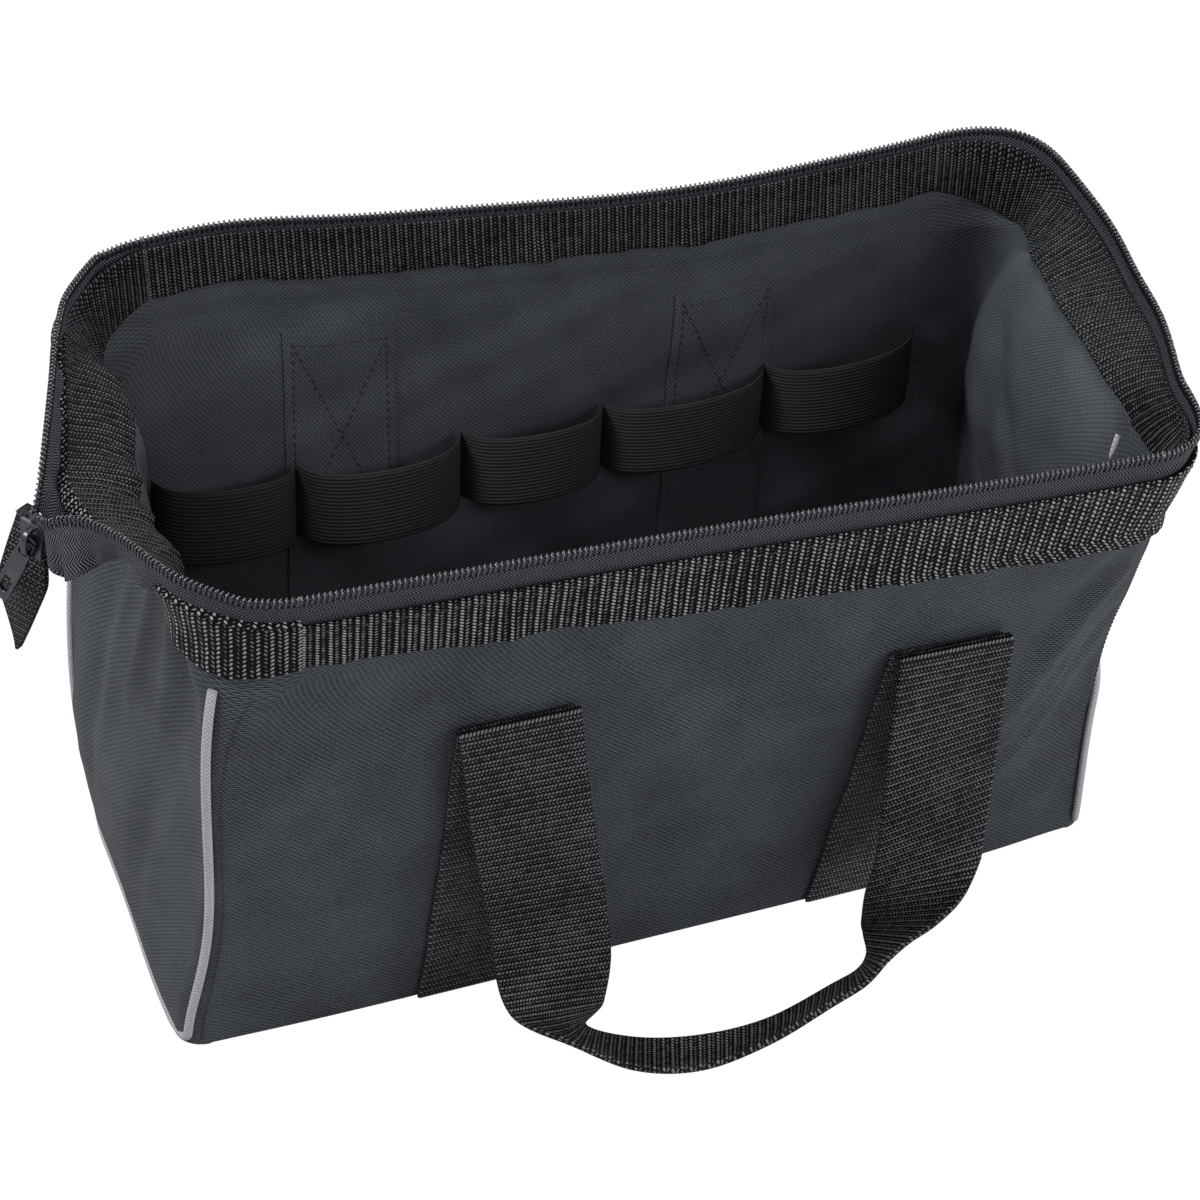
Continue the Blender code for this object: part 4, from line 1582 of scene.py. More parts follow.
@dataclass
class Wall(Part):
    """A long wall: shell cloth, lining, band, zip half, sewn straps and patches."""

    side: Side = Side.FRONT
    curl: float = 0.0015
    strap_half: float = 0.020
    strap_half_thickness: float = 0.0008
    strap_foot: float = 0.0014
    strap_top: float = 0.1335
    strap_offset: float = 0.0013
    strap_seam: Pair = (0.0172, 0.0022)
    front_centres: tuple[Pair, Pair] = ((-0.075, -0.070), (0.067, 0.075))
    back_centres: tuple[Pair, Pair] = ((-0.073, -0.073), (0.073, 0.073))
    patch_centres: Pair = (-0.0785, 0.0575)
    patch_heights: Pair = (0.020, 0.168)
    patch_half: float = 0.019
    patch_offset: float = -0.0029
    box_heights: Pair = (0.096, 0.164)
    box_half: float = 0.016

    def relief(self, x: Array, z: Array) -> Array:
        """Returns: how far this wall's cloth stands out.

        Args:
            x: places along it.
            z: heights.
        """
        if self.side is Side.FRONT:
            return FORM.front_relief(x, z)
        return FORM.plain_relief(x, z, 11)

    def skin(self, layer: Layer) -> Piece:
        """Builds one layer of the wall; the shell's foot is turned under.

        Args:
            layer: which layer.

        Returns:
            The layer.
        """
        share = np.linspace(0.0, 1.0, 181)[:, None]
        z = heights(layer.low, layer.high, 70)
        tuck = np.zeros_like(z)
        if layer is SHELL:
            z = np.concatenate([z[:1], z[:1] + 0.0005, z[:1] + 0.0010, z[1:]])
            tuck = self.curl - np.sqrt(self.curl**2 - np.maximum(self.curl - z, 0.0) ** 2)
        faces = []
        for offset, level, bend in ((layer.outer, z, tuck), (layer.inner, z[::-1], tuck[::-1])):
            stand = self.relief(FORM.along(share, level), level) * np.sin(math.pi * share) ** 0.25
            shift = FORM.lining_shift(level) if layer is LINING else 0.0
            faces.append(FORM.wall(share, level, offset - bend + stand + shift, self.side))
        return loft(f"{self.side.word}_{layer.word}", np.concatenate(faces, axis=1), layer.finish)

    def leaf(self, leaf: Leaf) -> Piece:
        """Builds one leaf of the binding band.

        Args:
            leaf: which leaf.

        Returns:
            The leaf.
        """
        share = np.linspace(0.0, 1.0, 221)[:, None]
        up, offset = leaf.section(16)
        x = share * FORM.length - FORM.length / 2
        low = leaf.low + leaf.slope * x
        z = low + (leaf.high - low) * up
        edge = np.sin(math.pi * share) ** 0.3
        free = edge * ease(1.0 - up, 0.35, 1.0)
        waves = np.abs(0.9 * wander(x, 7 + self.side.value, 0.060) + 0.5 * wander(x, 9, 0.021))
        out = offset + self.relief(FORM.along(share, z), z) * edge + leaf.wave * free * waves
        sag = -0.0008 * free * wander(x, 4 + self.side.value, 0.075)
        points = FORM.wall(share, z + sag, out, self.side)
        return loft(f"{self.side.word}_band_{leaf.word}", points, leaf.finish)

    def build(self) -> None:
        """Builds every piece of the wall and ties on all but its shell and lining."""
        word, body = self.side.word, f"{self.side.word}_wall"
        for layer in (SHELL, LINING):
            skin = self.skin(layer)
            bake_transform(skin)
            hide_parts(f"{word}_panel")
        for leaf in (OUTER_LEAF, INNER_LEAF):
            self.fasten(self.leaf(leaf), body, f"{word}_band")
        self.zip_half(word, body)
        self.straps(word, body)
        self.patches(word, body)
        level, out = BAND_STITCH
        line = FORM.wall(np.linspace(0.004, 0.996, 400), np.full(400, level), np.full(400, out), self.side)
        self.fasten(self.sew(f"{word}_band_stitches", [line]), body, f"{word}_band")

    def zip_half(self, word: str, body: str) -> None:
        """Builds this wall's half of the zip.

        Args:
            word: the wall's name.
            body: the body it moves with.
        """
        z, out = ZIP.tape()
        places = FORM.wall(np.linspace(0.0, 1.0, 161)[:, None], z, out, self.side)
        self.fasten(loft(f"{word}_tape", places, Finishes.tape), body, f"{word}_zip_tape")
        dense = np.linspace(0.0, 1.0, 500)
        line = FORM.wall(dense, np.full(500, ZIP.coil_height), np.full(500, ZIP.offset), self.side)
        for piece in self.coil(f"{word}_coil", f"{word}_coil_cord", line):
            self.fasten(piece, body, f"{word}_zip_coil")

    def line_up(self, centre: Pair, z: Array, out: float, aside: float) -> Array:
        """Places a line up a sewn strap or patch.

        Args:
            centre: the strap's middle at its foot and at its top.
            z: heights.
            out: the offset outwards.
            aside: the distance from its middle.

        Returns:
            The points.
        """
        x = centre[0] + (centre[1] - centre[0]) * z / self.strap_top + aside
        return FORM.wall(FORM.share(x, z), z, out + self.relief(x, z), self.side)

    def straps(self, word: str, body: str) -> None:
        """Builds the two straps sewn up the wall, with their stitches.

        Args:
            word: the wall's name.
            body: the body they move with.
        """
        z = np.linspace(self.strap_foot, self.strap_top, 60)
        section = rounded_section(self.strap_half, self.strap_half_thickness, 14)
        seam, stand = self.strap_seam
        for end, centre in zip(End, self.front_centres if self.side is Side.FRONT else self.back_centres):
            name, node = f"{word}_{end.word}", f"{word}_{end.word}_strap"
            lines = [self.line_up(centre, z, self.strap_offset + out, aside) for aside, out in section]
            strap = loft(f"{name}_sewn_strap", np.stack(lines, axis=1), Finishes.strap, strip_caps=False)
            self.fasten(strap, body, node)
            seams = [self.line_up(centre, z[2:-2], stand, aside) for aside in (-seam, seam)]
            self.fasten(self.sew(f"{name}_strap_stitches", seams), body, node)

    def patches(self, word: str, body: str) -> None:
        """Builds the patches inside the wall, sewn in a box with a cross.

        Args:
            word: the wall's name.
            body: the body they move with.
        """
        z = np.linspace(*self.patch_heights, 50)
        section = rounded_section(self.patch_half, 0.0003, 10)
        level = np.linspace(*self.box_heights, 40)
        half = self.box_half
        reach = np.linspace(-half, half, 40)
        low, high = (np.full(40, height) for height in self.box_heights)
        box = ((level, -half), (level, half), (level, reach), (level, -reach), (low, reach), (high, reach))
        for end, middle in zip(End, self.patch_centres):
            name, node, centre = f"{word}_{end.word}", f"{word}_{end.word}_patch", (middle, middle)
            lines = [self.line_up(centre, z, self.patch_offset + out, aside) for aside, out in section]
            patch = loft(f"{name}_lining_patch", np.stack(lines, axis=1), Finishes.lining, strip_caps=False)
            self.fasten(patch, body, node)
            rows = [self.line_up(centre, up, self.patch_offset - 0.0004, aside) for up, aside in box]
            self.fasten(self.sew(f"{name}_patch_stitches", rows), body, node)


@dataclass
class ToolLoops(Part):
    """The elastic band inside the back wall, sewn down at intervals."""

    seams: tuple[float, ...] = (-0.142, -0.095, -0.037, 0.014, 0.074, 0.131)
    tops: tuple[float, ...] = (0.125, 0.122, 0.126, 0.129, 0.134, 0.138)
    bows: tuple[float, ...] = (0.013, 0.016, 0.014, 0.015, 0.016)
    height: float = 0.025
    offset: float = -0.0042
    bunch: float = 0.10
    crown: float = 0.0015
    steps: int = 22

    def build(self) -> None:
        """Builds the elastic and its seams."""
        rows = []
        for index, (start, finish) in enumerate(zip(self.seams, self.seams[1:])):
            for step in range(self.steps + (index == len(self.bows) - 1)):
                share = step / self.steps
                x = start + (finish - start) * (share - self.bunch * math.sin(math.tau * share))
                bow = self.bows[index] * math.sin(math.pi * share) ** 0.9
                top = self.tops[index] + (self.tops[index + 1] - self.tops[index]) * share
                rows.append((x, bow, top + self.crown * math.sin(math.pi * share)))
        x, bow, top = (np.array(column)[:, None] for column in zip(*rows))
        section = rounded_section(self.height / 2, 0.0006)
        z = top - self.height / 2 + section[None, :, 0]
        slack = 1 - self.bunch * (section[None, :, 0] / self.height)
        out = self.offset - bow * slack - section[None, :, 1]
        band = loft("elastic_band", FORM.wall(FORM.share(x, z), z, out, Side.BACK), Finishes.elastic)
        self.fasten(band, "back_wall", "tool_loops")
        lines = []
        for seam, top_here in zip(self.seams, self.tops):
            level = np.linspace(top_here - self.height + 0.001, top_here - 0.001, 20)
            for aside in (-0.0006, 0.0006):
                share = FORM.share(seam + aside, level)
                lines.append(FORM.wall(share, level, np.full(20, self.offset - 0.0010), Side.BACK))
        self.fasten(self.sew("elastic_band_stitches", lines, 0.0016), "back_wall", "tool_loops")


@dataclass
class SoftEnd(Part):
    """A soft end, built in a front and a back half.

    The bands hold each leaf's lower and upper height at the stations round the end. The left end's
    outer leaf lies lower behind the loose zip tape.
    """

    end: End = End.LEFT
    steps: int = 90
    stations: tuple[float, ...] = (-1.0, -0.80, -0.72, -0.62, -0.45, 0.0, 0.45, 0.80, 1.0)
    bands: dict[tuple[End, str], tuple] = field(
        default_factory=lambda: {
            (End.LEFT, "outer"): (
                (0.1781, 0.1725, 0.1735, 0.1745, 0.1750, 0.1750, 0.1750, 0.1760, 0.1781),
                (0.1970, 0.1970, 0.1962, 0.1945, 0.1930, 0.1945, 0.1965, 0.1970, 0.1970),
            ),
            (End.LEFT, "inner"): (
                (0.1880, 0.1820, 0.1780, 0.1750, 0.1730, 0.1730, 0.1740, 0.1760, 0.1880),
                (0.2050, 0.2010, 0.1985, 0.1962, 0.1950, 0.1962, 0.1985, 0.2020, 0.2050),
            ),
            (End.RIGHT, "outer"): (
                (0.1658, 0.1655, 0.1655, 0.1665, 0.1690, 0.1720, 0.1720, 0.1680, 0.1658),
                (0.1970,) * 9,
            ),
            (End.RIGHT, "inner"): (
                (0.1880, 0.1820, 0.1770, 0.1745, 0.1725, 0.1725, 0.1725, 0.1770, 0.1880),
                (0.2050, 0.2030, 0.2020, 0.2010, 0.2005, 0.2005, 0.2015, 0.2035, 0.2050),
            ),
        }
    )
    piping_heights: Pair = (0.0026, 0.1665)
    piping_halves: Pair = (0.0016, 0.0013)
    piping_offset: float = 0.0012

    def level(self, turn: Array, row: Sequence[float]) -> Array:
        """Reads a height at places round the end.

        Args:
            turn: the places.
            row: the height at each station.

        Returns:
            The heights, one to a row.
        """
        return np.interp(turn, self.stations, row)[:, None]

    def relief(self, turn: Array, z: Array) -> Array:
        """Returns: how far the end's cloth stands out.

        Args:
            turn: places round the end.
            z: heights.
        """
        seed = 21 if self.end is End.LEFT else 31
        y = np.clip(turn / (1.0 - FORM.arc_share), -1.0, 1.0) * 0.060
        folds = sum(fold.height(y, z) for fold in FORM.end_folds[self.end])
        pleats = 0.0007 * wander(turn * 0.05, seed, 0.032) * ease(z, 0.03, 0.15)
        waves = 0.0007 * wander(z + turn * 0.02, seed + 3, 0.050)
        calm = ease(1.0 - np.abs(turn), 0.0, 0.30)
        return (folds + pleats + waves) * calm * ease(z, 0.002, 0.030) * ease(FORM.band_top - z, 0.0, 0.030)

    def build(self) -> None:
        """Builds every piece of the end; none is tied to a body."""
        word = self.end.word
        for side in Side:
            turn = side.value * (1.0 - np.linspace(0.0, 1.0, self.steps + 1))
            half = f"{word}_{side.word}"
            for layer in (SHELL, LINING):
                z = heights(layer.low, layer.high, 90)
                faces = []
                for offset, level in ((layer.outer, z), (layer.inner, z[::-1])):
                    shift = FORM.lining_shift(level) if layer is LINING else 0.0
                    out = offset + self.relief(turn[:, None], level) + shift
                    faces.append(FORM.end(turn[:, None], level, out, self.end))
                skin = loft(f"{half}_end_{layer.word}", np.concatenate(faces, axis=1), layer.finish)
                self.bend(skin, side, f"{word}_end_panel")
            self.band(half, side, turn)
            self.bend(self.piping(f"{half}_piping_run", side), side, f"{word}_piping")
            corner = np.full(120, side.value * (1.0 - FORM.arc_share * 0.20))
            seam = FORM.end(corner, np.linspace(0.004, 0.165, 120), np.full(120, 0.0002), self.end)
            self.bend(self.sew(f"{half}_seam", [seam], 0.0022), side, f"{word}_end_panel")
            if self.end is End.RIGHT:
                self.zip_round(half, side, turn)

    def band(self, half: str, side: Side, turn: Array) -> None:
        """Builds the band's two leaves round this half, and its stitches or its folded crown.

        Args:
            half: the half's name.
            side: which half.
            turn: places round it.
        """
        node = f"{self.end.word}_band_end"
        place = turn[:, None]
        for leaf in (OUTER_LEAF, INNER_LEAF):
            up, offset = leaf.section(24)
            low, high = (self.level(turn, row) for row in self.bands[self.end, leaf.word])
            z = low + (high - low) * up
            free = ease(1.0 - np.abs(place), 0.0, 0.25) * ease(1.0 - up, 0.2, 1.0)
            wave = 0.0012 * np.abs(wander(place * 0.08, 41 + self.end.value, 0.040))
            ripple = 0.0006 * np.abs(wander(place * 0.08 + z * 0.4, 45 + self.end.value, 0.012))
            lift = math.copysign(1.0, leaf.outer) * free * (wave + ripple)
            points = FORM.end(place, z, offset + lift + self.relief(place, z), self.end)
            self.bend(loft(f"{half}_band_{leaf.word}", points, leaf.finish), side, node)
        if self.end is End.RIGHT:
            level, out = BAND_STITCH
            line = FORM.end(turn, np.full_like(turn, level), np.full_like(turn, out), self.end)
            self.bend(self.sew(f"{half}_band_stitches", [line]), side, node)
            return
        section = rounded_section(0.0030, 0.0007, 14, 5)[None]
        crown = np.minimum(self.level(turn, self.bands[self.end, "inner"][1]), 0.1985) - 0.0004
        z = crown + section[..., 1] - 0.0006 * (section[..., 0] / 0.0030) ** 2
        fold = FORM.end(place, z, -0.0013 + section[..., 0], self.end)
        self.bend(loft(f"{half}_band_fold", fold, Finishes.band), side, node)

    def piping(self, name: str, side: Side) -> Piece:
        """Builds this half's piping: up the corner and along the foot to the middle.

        At the right front corner the cloth rolls over the piping's upper part.

        Args:
            name: its name.
            side: which half.

        Returns:
            The piping.
        """
        low, high = self.piping_heights
        level = heights(low, high, 60)[::-1]
        rolled = float((self.end, side) == (End.RIGHT, Side.FRONT))
        lean = rolled * (0.10 - 0.34 * ease(level, 0.062, 0.108))
        sunk = rolled * 0.0020 * ease(level, 0.066, 0.090)
        corner = side.value * (1.0 - FORM.arc_share / 2 + lean)
        down = FORM.end(corner, level, self.piping_offset - sunk, self.end)
        turn = np.linspace(corner[-1], 0.0, 40)[1:]
        foot = FORM.end(turn, np.full_like(turn, low), np.full_like(turn, -0.0004), self.end)
        route = even(np.vstack([down, foot]), 240)
        padded = np.vstack([np.repeat(route[:1], 7, 0), route, np.repeat(route[-1:], 7, 0)])
        smooth = sum(padded[step : step + 240] for step in range(15)) / 15
        keep = ease(np.minimum(np.arange(240), np.arange(240)[::-1]) / 10.0, 0.0, 1.0)[:, None]
        route = route * (1 - keep) + smooth * keep
        along = directions(route)
        out = (route - (self.end.value * (FORM.length / 2 - 0.032), 0.0, 0.0)) * (1.0, 0.35, 0.0)
        out = unit(out - along * np.sum(out * along, axis=1, keepdims=True))
        return rod(name, route, (np.cross(along, out), out), self.piping_halves, 12, Finishes.piping)

    def zip_round(self, half: str, side: Side, turn: Array) -> None:
        """Carries the zip round this half.

        Args:
            half: the half's name.
            side: which half.
            turn: places round it.
        """
        z, out = ZIP.tape()
        tape = loft(f"{half}_tape_run", FORM.end(turn[:, None], z, out, self.end), Finishes.tape)
        self.bend(tape, side, f"{side.word}_tape_right_end")
        dense = side.value * (1.0 - np.linspace(0.0, 1.0, 300))
        line = FORM.end(dense, np.full(300, ZIP.coil_height), np.full(300, ZIP.offset), self.end)
        for piece in self.coil(f"{half}_coil_run", f"{half}_coil_cord", line):
            self.bend(piece, side, f"{side.word}_coil_right_end")


@dataclass
class FrameWire(Part):
    """The steel wire in one half of the mouth's binding, with an arm into each soft end."""

    side: Side = Side.FRONT
    radius: float = 0.0016
    height: float = 0.1880
    offset: float = -0.0012
    tip: float = 0.28

    def build(self) -> None:
        """Builds the wire."""
        turn = self.side.value * np.linspace(self.tip, 1.0, 60)
        arms = [FORM.end(turn, np.full(60, self.height), np.full(60, self.offset), end) for end in End]
        share = np.linspace(0.0, 1.0, 120)[1:-1]
        wall = FORM.wall(share, np.full(118, self.height), np.full(118, self.offset), self.side)
        route = even(np.vstack([arms[0], wall, arms[1][::-1]]), 300)
        halves = (self.radius, self.radius)
        wire = rod(f"{self.side.word}_steel_wire", route, upright(route), halves, 10, Finishes.wire)
        self.fasten(wire, f"{self.side.word}_frame", f"{self.side.word}_frame_wire")


@dataclass
class ZipTail(Part):
    """The loose zip ends past the left end, the slider and the webbing tab at the tail."""

    slider: Place = (-0.201, -0.012, 0.180)
    turned: float = 35.0
    lean: float = 26.0
    hang_start: float = 0.012
    blade_half: float = 0.0031
    blade_length: float = 0.031
    blade_middle: float = -0.0039
    cut_half: float = 0.002
    slot_radius: float = 0.0017
    slot_height: float = -0.0255
    slot_length: float = 0.0045
    tab_stations: tuple[Place, ...] = (
        (0.0030, 0.0110, 0.0062), (0.0015, 0.0120, 0.0045), (-0.0030, 0.0134, 0.0028),
        (-0.0100, 0.0154, 0.0005), (-0.0200, 0.0182, -0.0005), (-0.0260, 0.0199, 0.0012),
        (-0.0310, 0.0209, 0.0036), (-0.0400, 0.0193, 0.0079), (-0.0500, 0.0173, 0.0126),
        (-0.0560, 0.0164, 0.0154),
    )
    chains: dict[Side, tuple[Place, ...]] = field(
        default_factory=lambda: {
            Side.FRONT: (
                (-0.1714, -0.0751, 0.2060), (-0.1775, -0.0635, 0.2050), (-0.1818, -0.0505, 0.2030),
                (-0.1863, -0.0386, 0.2000), (-0.1910, -0.0301, 0.1975), (-0.1955, -0.0245, 0.1945),
                (-0.1992, -0.0200, 0.1905), (-0.2008, -0.0140, 0.1875),
            ),
            Side.BACK: (
                (-0.1720, 0.0720, 0.2066), (-0.1775, 0.0590, 0.2065), (-0.1818, 0.0465, 0.2060),
                (-0.1860, 0.0313, 0.2050), (-0.1917, 0.0128, 0.2022), (-0.1967, -0.0018, 0.1972),
                (-0.1998, -0.0085, 0.1915), (-0.2010, -0.0100, 0.1875),
            ),
        }
    )
    hems: dict[Side, tuple[Place, ...]] = field(
        default_factory=lambda: {
            Side.FRONT: (
                (-0.1706, -0.0755, 0.1950), (-0.1765, -0.0636, 0.1950), (-0.1808, -0.0500, 0.1950),
                (-0.1860, -0.0385, 0.1880), (-0.1905, -0.0364, 0.1835), (-0.1965, -0.0345, 0.1795),
                (-0.1998, -0.0300, 0.1790), (-0.2008, -0.0190, 0.1800),
            ),
            Side.BACK: (
                (-0.1712, 0.0720, 0.1960), (-0.1765, 0.0590, 0.1960), (-0.1802, 0.0465, 0.1950),
                (-0.1838, 0.0320, 0.1930), (-0.1870, 0.0120, 0.1890), (-0.1900, -0.0040, 0.1850),
                (-0.1940, -0.0120, 0.1830), (-0.1985, -0.0120, 0.1820),
            ),
        }
    )

    def route(self, side: Side) -> tuple[Array, Array]:
        """Works out where one half of the zip runs.

        Args:
            side: which half.

        Returns:
            The coil's line and the tape's lower edge.
        """
        turn = side.value * (1.0 - np.linspace(0.0, 0.13, 4))
        lines = []
        for level, rest in ((ZIP.coil_height, self.chains), (ZIP.tape_height - 0.0065, self.hems)):
            start = FORM.end(turn, np.full(4, level), np.full(4, ZIP.offset), End.LEFT)
            lines.append(through(np.vstack([start, rest[side]]), 220))
        return lines[0], lines[1]

    def swivel(self, piece: Piece, lean: float = 0.0) -> Piece:
        """Turns a piece about the slider's upright, the way the loose zip holds it.

        Args:
            piece: the piece.
            lean: how far it also leans in its own plane, in degrees.

        Returns:
            The same piece.
        """
        place = Vector(self.slider)
        tilt = Matrix.Rotation(math.radians(lean), 4, "X")
        turn = Matrix.Rotation(math.radians(self.turned), 4, "Z")
        piece.data.transform(Matrix.Translation(place) @ turn @ tilt @ Matrix.Translation(-place))
        return piece

    def build(self) -> None:
        """Builds the tails, the slider, its pull and the tab."""
        for side in Side:
            upper, lower = self.route(side)
            line = even(upper, 500)
            for piece in self.coil(f"{side.word}_coil_tail", f"{side.word}_tail_cord", line):
                self.bend(piece, side, f"{side.word}_coil_left_end", self.hang_start)
            self.bend(self.tape(side, upper, lower), side, f"{side.word}_tape_left_end", self.hang_start)
        self.slider_body()
        self.pull()
        self.tab()

    def tape(self, side: Side, upper: Array, lower: Array) -> Piece:
        """Builds a loose end of the tape, which flutters a little at its lower edge.

        Args:
            side: which half.
            upper: the coil's line.
            lower: the tape's lower edge.

        Returns:
            The tape.
        """
        keep = slice(0, 208)
        top = upper - (0.0, 0.0, 0.0012)
        fall = (lower - top)[keep]
        wide = unit(fall)
        out = unit(np.cross(directions(upper)[keep], wide))
        reach = np.linalg.norm(fall, axis=1)
        section = rounded_section(0.5, ZIP.tape_half_thickness, 10)
        place = np.linspace(0.0, 0.11, 208)
        flutter = ease(place, 0.03, 0.06) * 0.0026 * wander(place, 51 + side.value, 0.030)
        share = section[None, :, 0] + 0.5
        points = (
            top[keep][:, None]
            + wide[:, None] * (share * reach[:, None])[..., None]
            + out[:, None] * (section[None, :, 1] + flutter[:, None] * share**1.5)[..., None]
        )
        return loft(f"{side.word}_tape_tail", points, Finishes.tape)

    def slider_body(self) -> None:
        """Builds the slider's two plates, its post and its crown."""
        x, y, z = self.slider
        half_outline = ((0.0031, -0.0065), (0.0036, -0.0010), (0.0045, 0.0030), (0.0045, 0.0065))
        mirrored = [(-across, up) for across, up in half_outline[::-1]]
        outline = np.array([*mirrored, *half_outline]) + (y, z)
        plates = [plate("plate", outline, x + step, 0.0006, Finishes.metal) for step in (-0.0020, 0.0020)]
        square = np.array([(-0.0012, 0.0035), (0.0012, 0.0035), (0.0012, 0.0064), (-0.0012, 0.0064)])
        post = plate("post", square + (y, z), x, 0.0020, Finishes.metal)
        body = self.swivel(soften(joined("slider_body", [*plates, post]), 0.0004))
        self.fasten(body, "zip_slider", "zip_slider")
        half_bow = ((-0.0022, -0.0042), (-0.0046, -0.0040), (-0.0060, -0.0022))
        bow = through([*half_bow, (-0.0062, 0.0), *((out, -up) for out, up in half_bow[::-1])], 36)
        route = np.stack([x + bow[:, 0], np.full(36, y), z + bow[:, 1]], axis=1)
        section = rounded_section(0.0012, 0.0006, 4, 6)
        crown = ribbon("slider_crown", route, np.tile((0.0, 1.0, 0.0), (36, 1)), section, Finishes.metal)
        self.fasten(self.swivel(crown), "zip_slider", "zip_slider")

    def pull(self) -> None:
        """Builds the pull tab, with its window and its slot."""
        x, y, z = self.slider
        middle, half = x + self.blade_middle, self.blade_half
        angle = np.linspace(0.0, math.pi, 15)
        tip = np.stack([half * np.cos(angle), half - self.blade_length - half * np.sin(angle)], axis=1)
        neck = ((-0.0028, -0.0075), (-0.0026, 0.0007), (0.0026, 0.0007), (0.0028, -0.0075), (half, -0.0105))
        outline = np.array([*neck, *tip.tolist(), (-half, -0.0105)])
        square = np.array([(-0.0018, -0.0062), (0.0018, -0.0062), (0.0018, -0.0007), (-0.0018, -0.0007)])
        ring = np.linspace(0.0, math.tau, 17)[:-1]
        rise = self.slot_height + np.where(np.sin(ring) > 0, self.slot_length, 0.0)
        slot = np.stack([self.slot_radius * np.cos(ring), rise + self.slot_radius * np.sin(ring)], axis=1)
        blade = plate("pull_blade", outline + (y, z), middle, 0.0007, Finishes.metal)
        cuts = [
            plate(name, shape + (y, z), middle, self.cut_half, Finishes.metal)
            for name, shape in (("window", square), ("slot", slot))
        ]
        pull = soften(joined("pull_tab_blade", [blade, *cuts], "DIFFERENCE"), 0.00025)
        self.fasten(self.swivel(pull, self.lean), "zip_pull", "zip_pull_tab")

    def tab(self) -> None:
        """Builds the folded webbing tab, rolled at its top and cut to a point."""
        drop, left, right = through(self.tab_stations, 60).T[..., None]
        share = np.linspace(0.0, 1.0, 60)[:, None]
        thick = 0.0011 + 0.0016 * np.exp(-((share / 0.07) ** 2))
        section = rounded_section(1.0, 0.06, 14, 8)[None]
        aside = (left + right) / 2 - section[..., 0] * (left - right) / 2
        bow = 0.0048 - 0.0016 * np.sin(math.pi * share) + 0.0008 * np.sin(share * 9.0)
        depth = bow + section[..., 1] / 0.06 * thick
        spin = math.radians(self.turned)
        x = depth * math.cos(spin) - aside * math.sin(spin)
        y = depth * math.sin(spin) + aside * math.cos(spin)
        points = np.stack([x, y, np.broadcast_to(drop, aside.shape)], axis=-1) + self.slider
        tab = loft("tail_tab_webbing", points, Finishes.webbing, strip_caps=False)
        self.fasten(tab, "bag_base", "zip_tail_tab")


@dataclass
class Handle(Part):
    """A webbing handle, hanging from its folds and turning under on the floor.

    The edges are pairs of places across the webbing, from its left fold round to its right one.
    """

    side: Side = Side.FRONT
    half_width: float = 0.020
    half_thickness: float = 0.0009
    cup: float = 0.0018
    edges: tuple = (
        ((-0.090, -0.083, 0.1335), (-0.050, -0.083, 0.135)),
        ((-0.090, -0.085, 0.136), (-0.050, -0.085, 0.1375)),
        ((-0.090, -0.087, 0.134), (-0.050, -0.087, 0.1355)),
        ((-0.085, -0.088, 0.096), (-0.045, -0.0895, 0.098)),
        ((-0.077, -0.0885, 0.051), (-0.0375, -0.0905, 0.052)),
        ((-0.0755, -0.0915, 0.034), (-0.0355, -0.0915, 0.032)),
        ((-0.073, -0.104, 0.026), (-0.0375, -0.093, 0.0115)),
        ((-0.059, -0.121, 0.0275), (-0.0445, -0.097, 0.0065)),
        ((-0.041, -0.133, 0.023), (-0.033, -0.1135, 0.014)),
        ((-0.020, -0.138, 0.022), (-0.014, -0.1225, 0.019)),
        ((0.0035, -0.1355, 0.0245), (0.0095, -0.1225, 0.020)),
        ((0.026, -0.131, 0.0305), (0.034, -0.1165, 0.0225)),
        ((0.0385, -0.129, 0.035), (0.045, -0.112, 0.022)),
        ((0.047, -0.126, 0.0405), (0.051, -0.1055, 0.0215)),
        ((0.057, -0.121, 0.0415), (0.0525, -0.098, 0.0225)),
        ((0.068, -0.116, 0.041), (0.054, -0.0925, 0.0215)),
        ((0.082, -0.106, 0.0385), (0.0555, -0.089, 0.0235)),
        ((0.090, -0.099, 0.041), (0.0555, -0.0885, 0.030)),
        ((0.096, -0.093, 0.053), (0.056, -0.0885, 0.041)),
        ((0.097, -0.0905, 0.077), (0.0565, -0.0885, 0.065)),
        ((0.096, -0.0885, 0.110), (0.056, -0.088, 0.1045)),
        ((0.0965, -0.087, 0.132), (0.0565, -0.087, 0.131)),
        ((0.0965, -0.085, 0.134), (0.0565, -0.085, 0.133)),
        ((0.0965, -0.083, 0.132), (0.0565, -0.083, 0.131)),
    )

    def build(self) -> None:
        """Builds the handle."""
        rows = through(np.array(self.edges).reshape(len(self.edges), 6), 900)
        middle = (rows[:, :3] + rows[:, 3:]) / 2
        rows = even(np.hstack([middle, rows[:, 3:] - rows[:, :3]]), 340)
        if self.side is Side.BACK:
            rows = rows * (-1, -1, 1, -1, -1, 1)
        route, wide = rows[:, :3], rows[:, 3:]
        section = rounded_section(self.half_width, self.half_thickness, 18, 6)
        low = ease(-route[:, 2], -0.030, -0.012)
        spread = np.clip(np.linalg.norm(wide, axis=1) / (2 * self.half_width), 0.2, 1.0)
        name = f"{self.side.word}_handle"
        strap = ribbon(f"{name}_webbing", route, wide, section, Finishes.webbing, -self.cup * low, spread)
        self.fasten(strap, name, name)


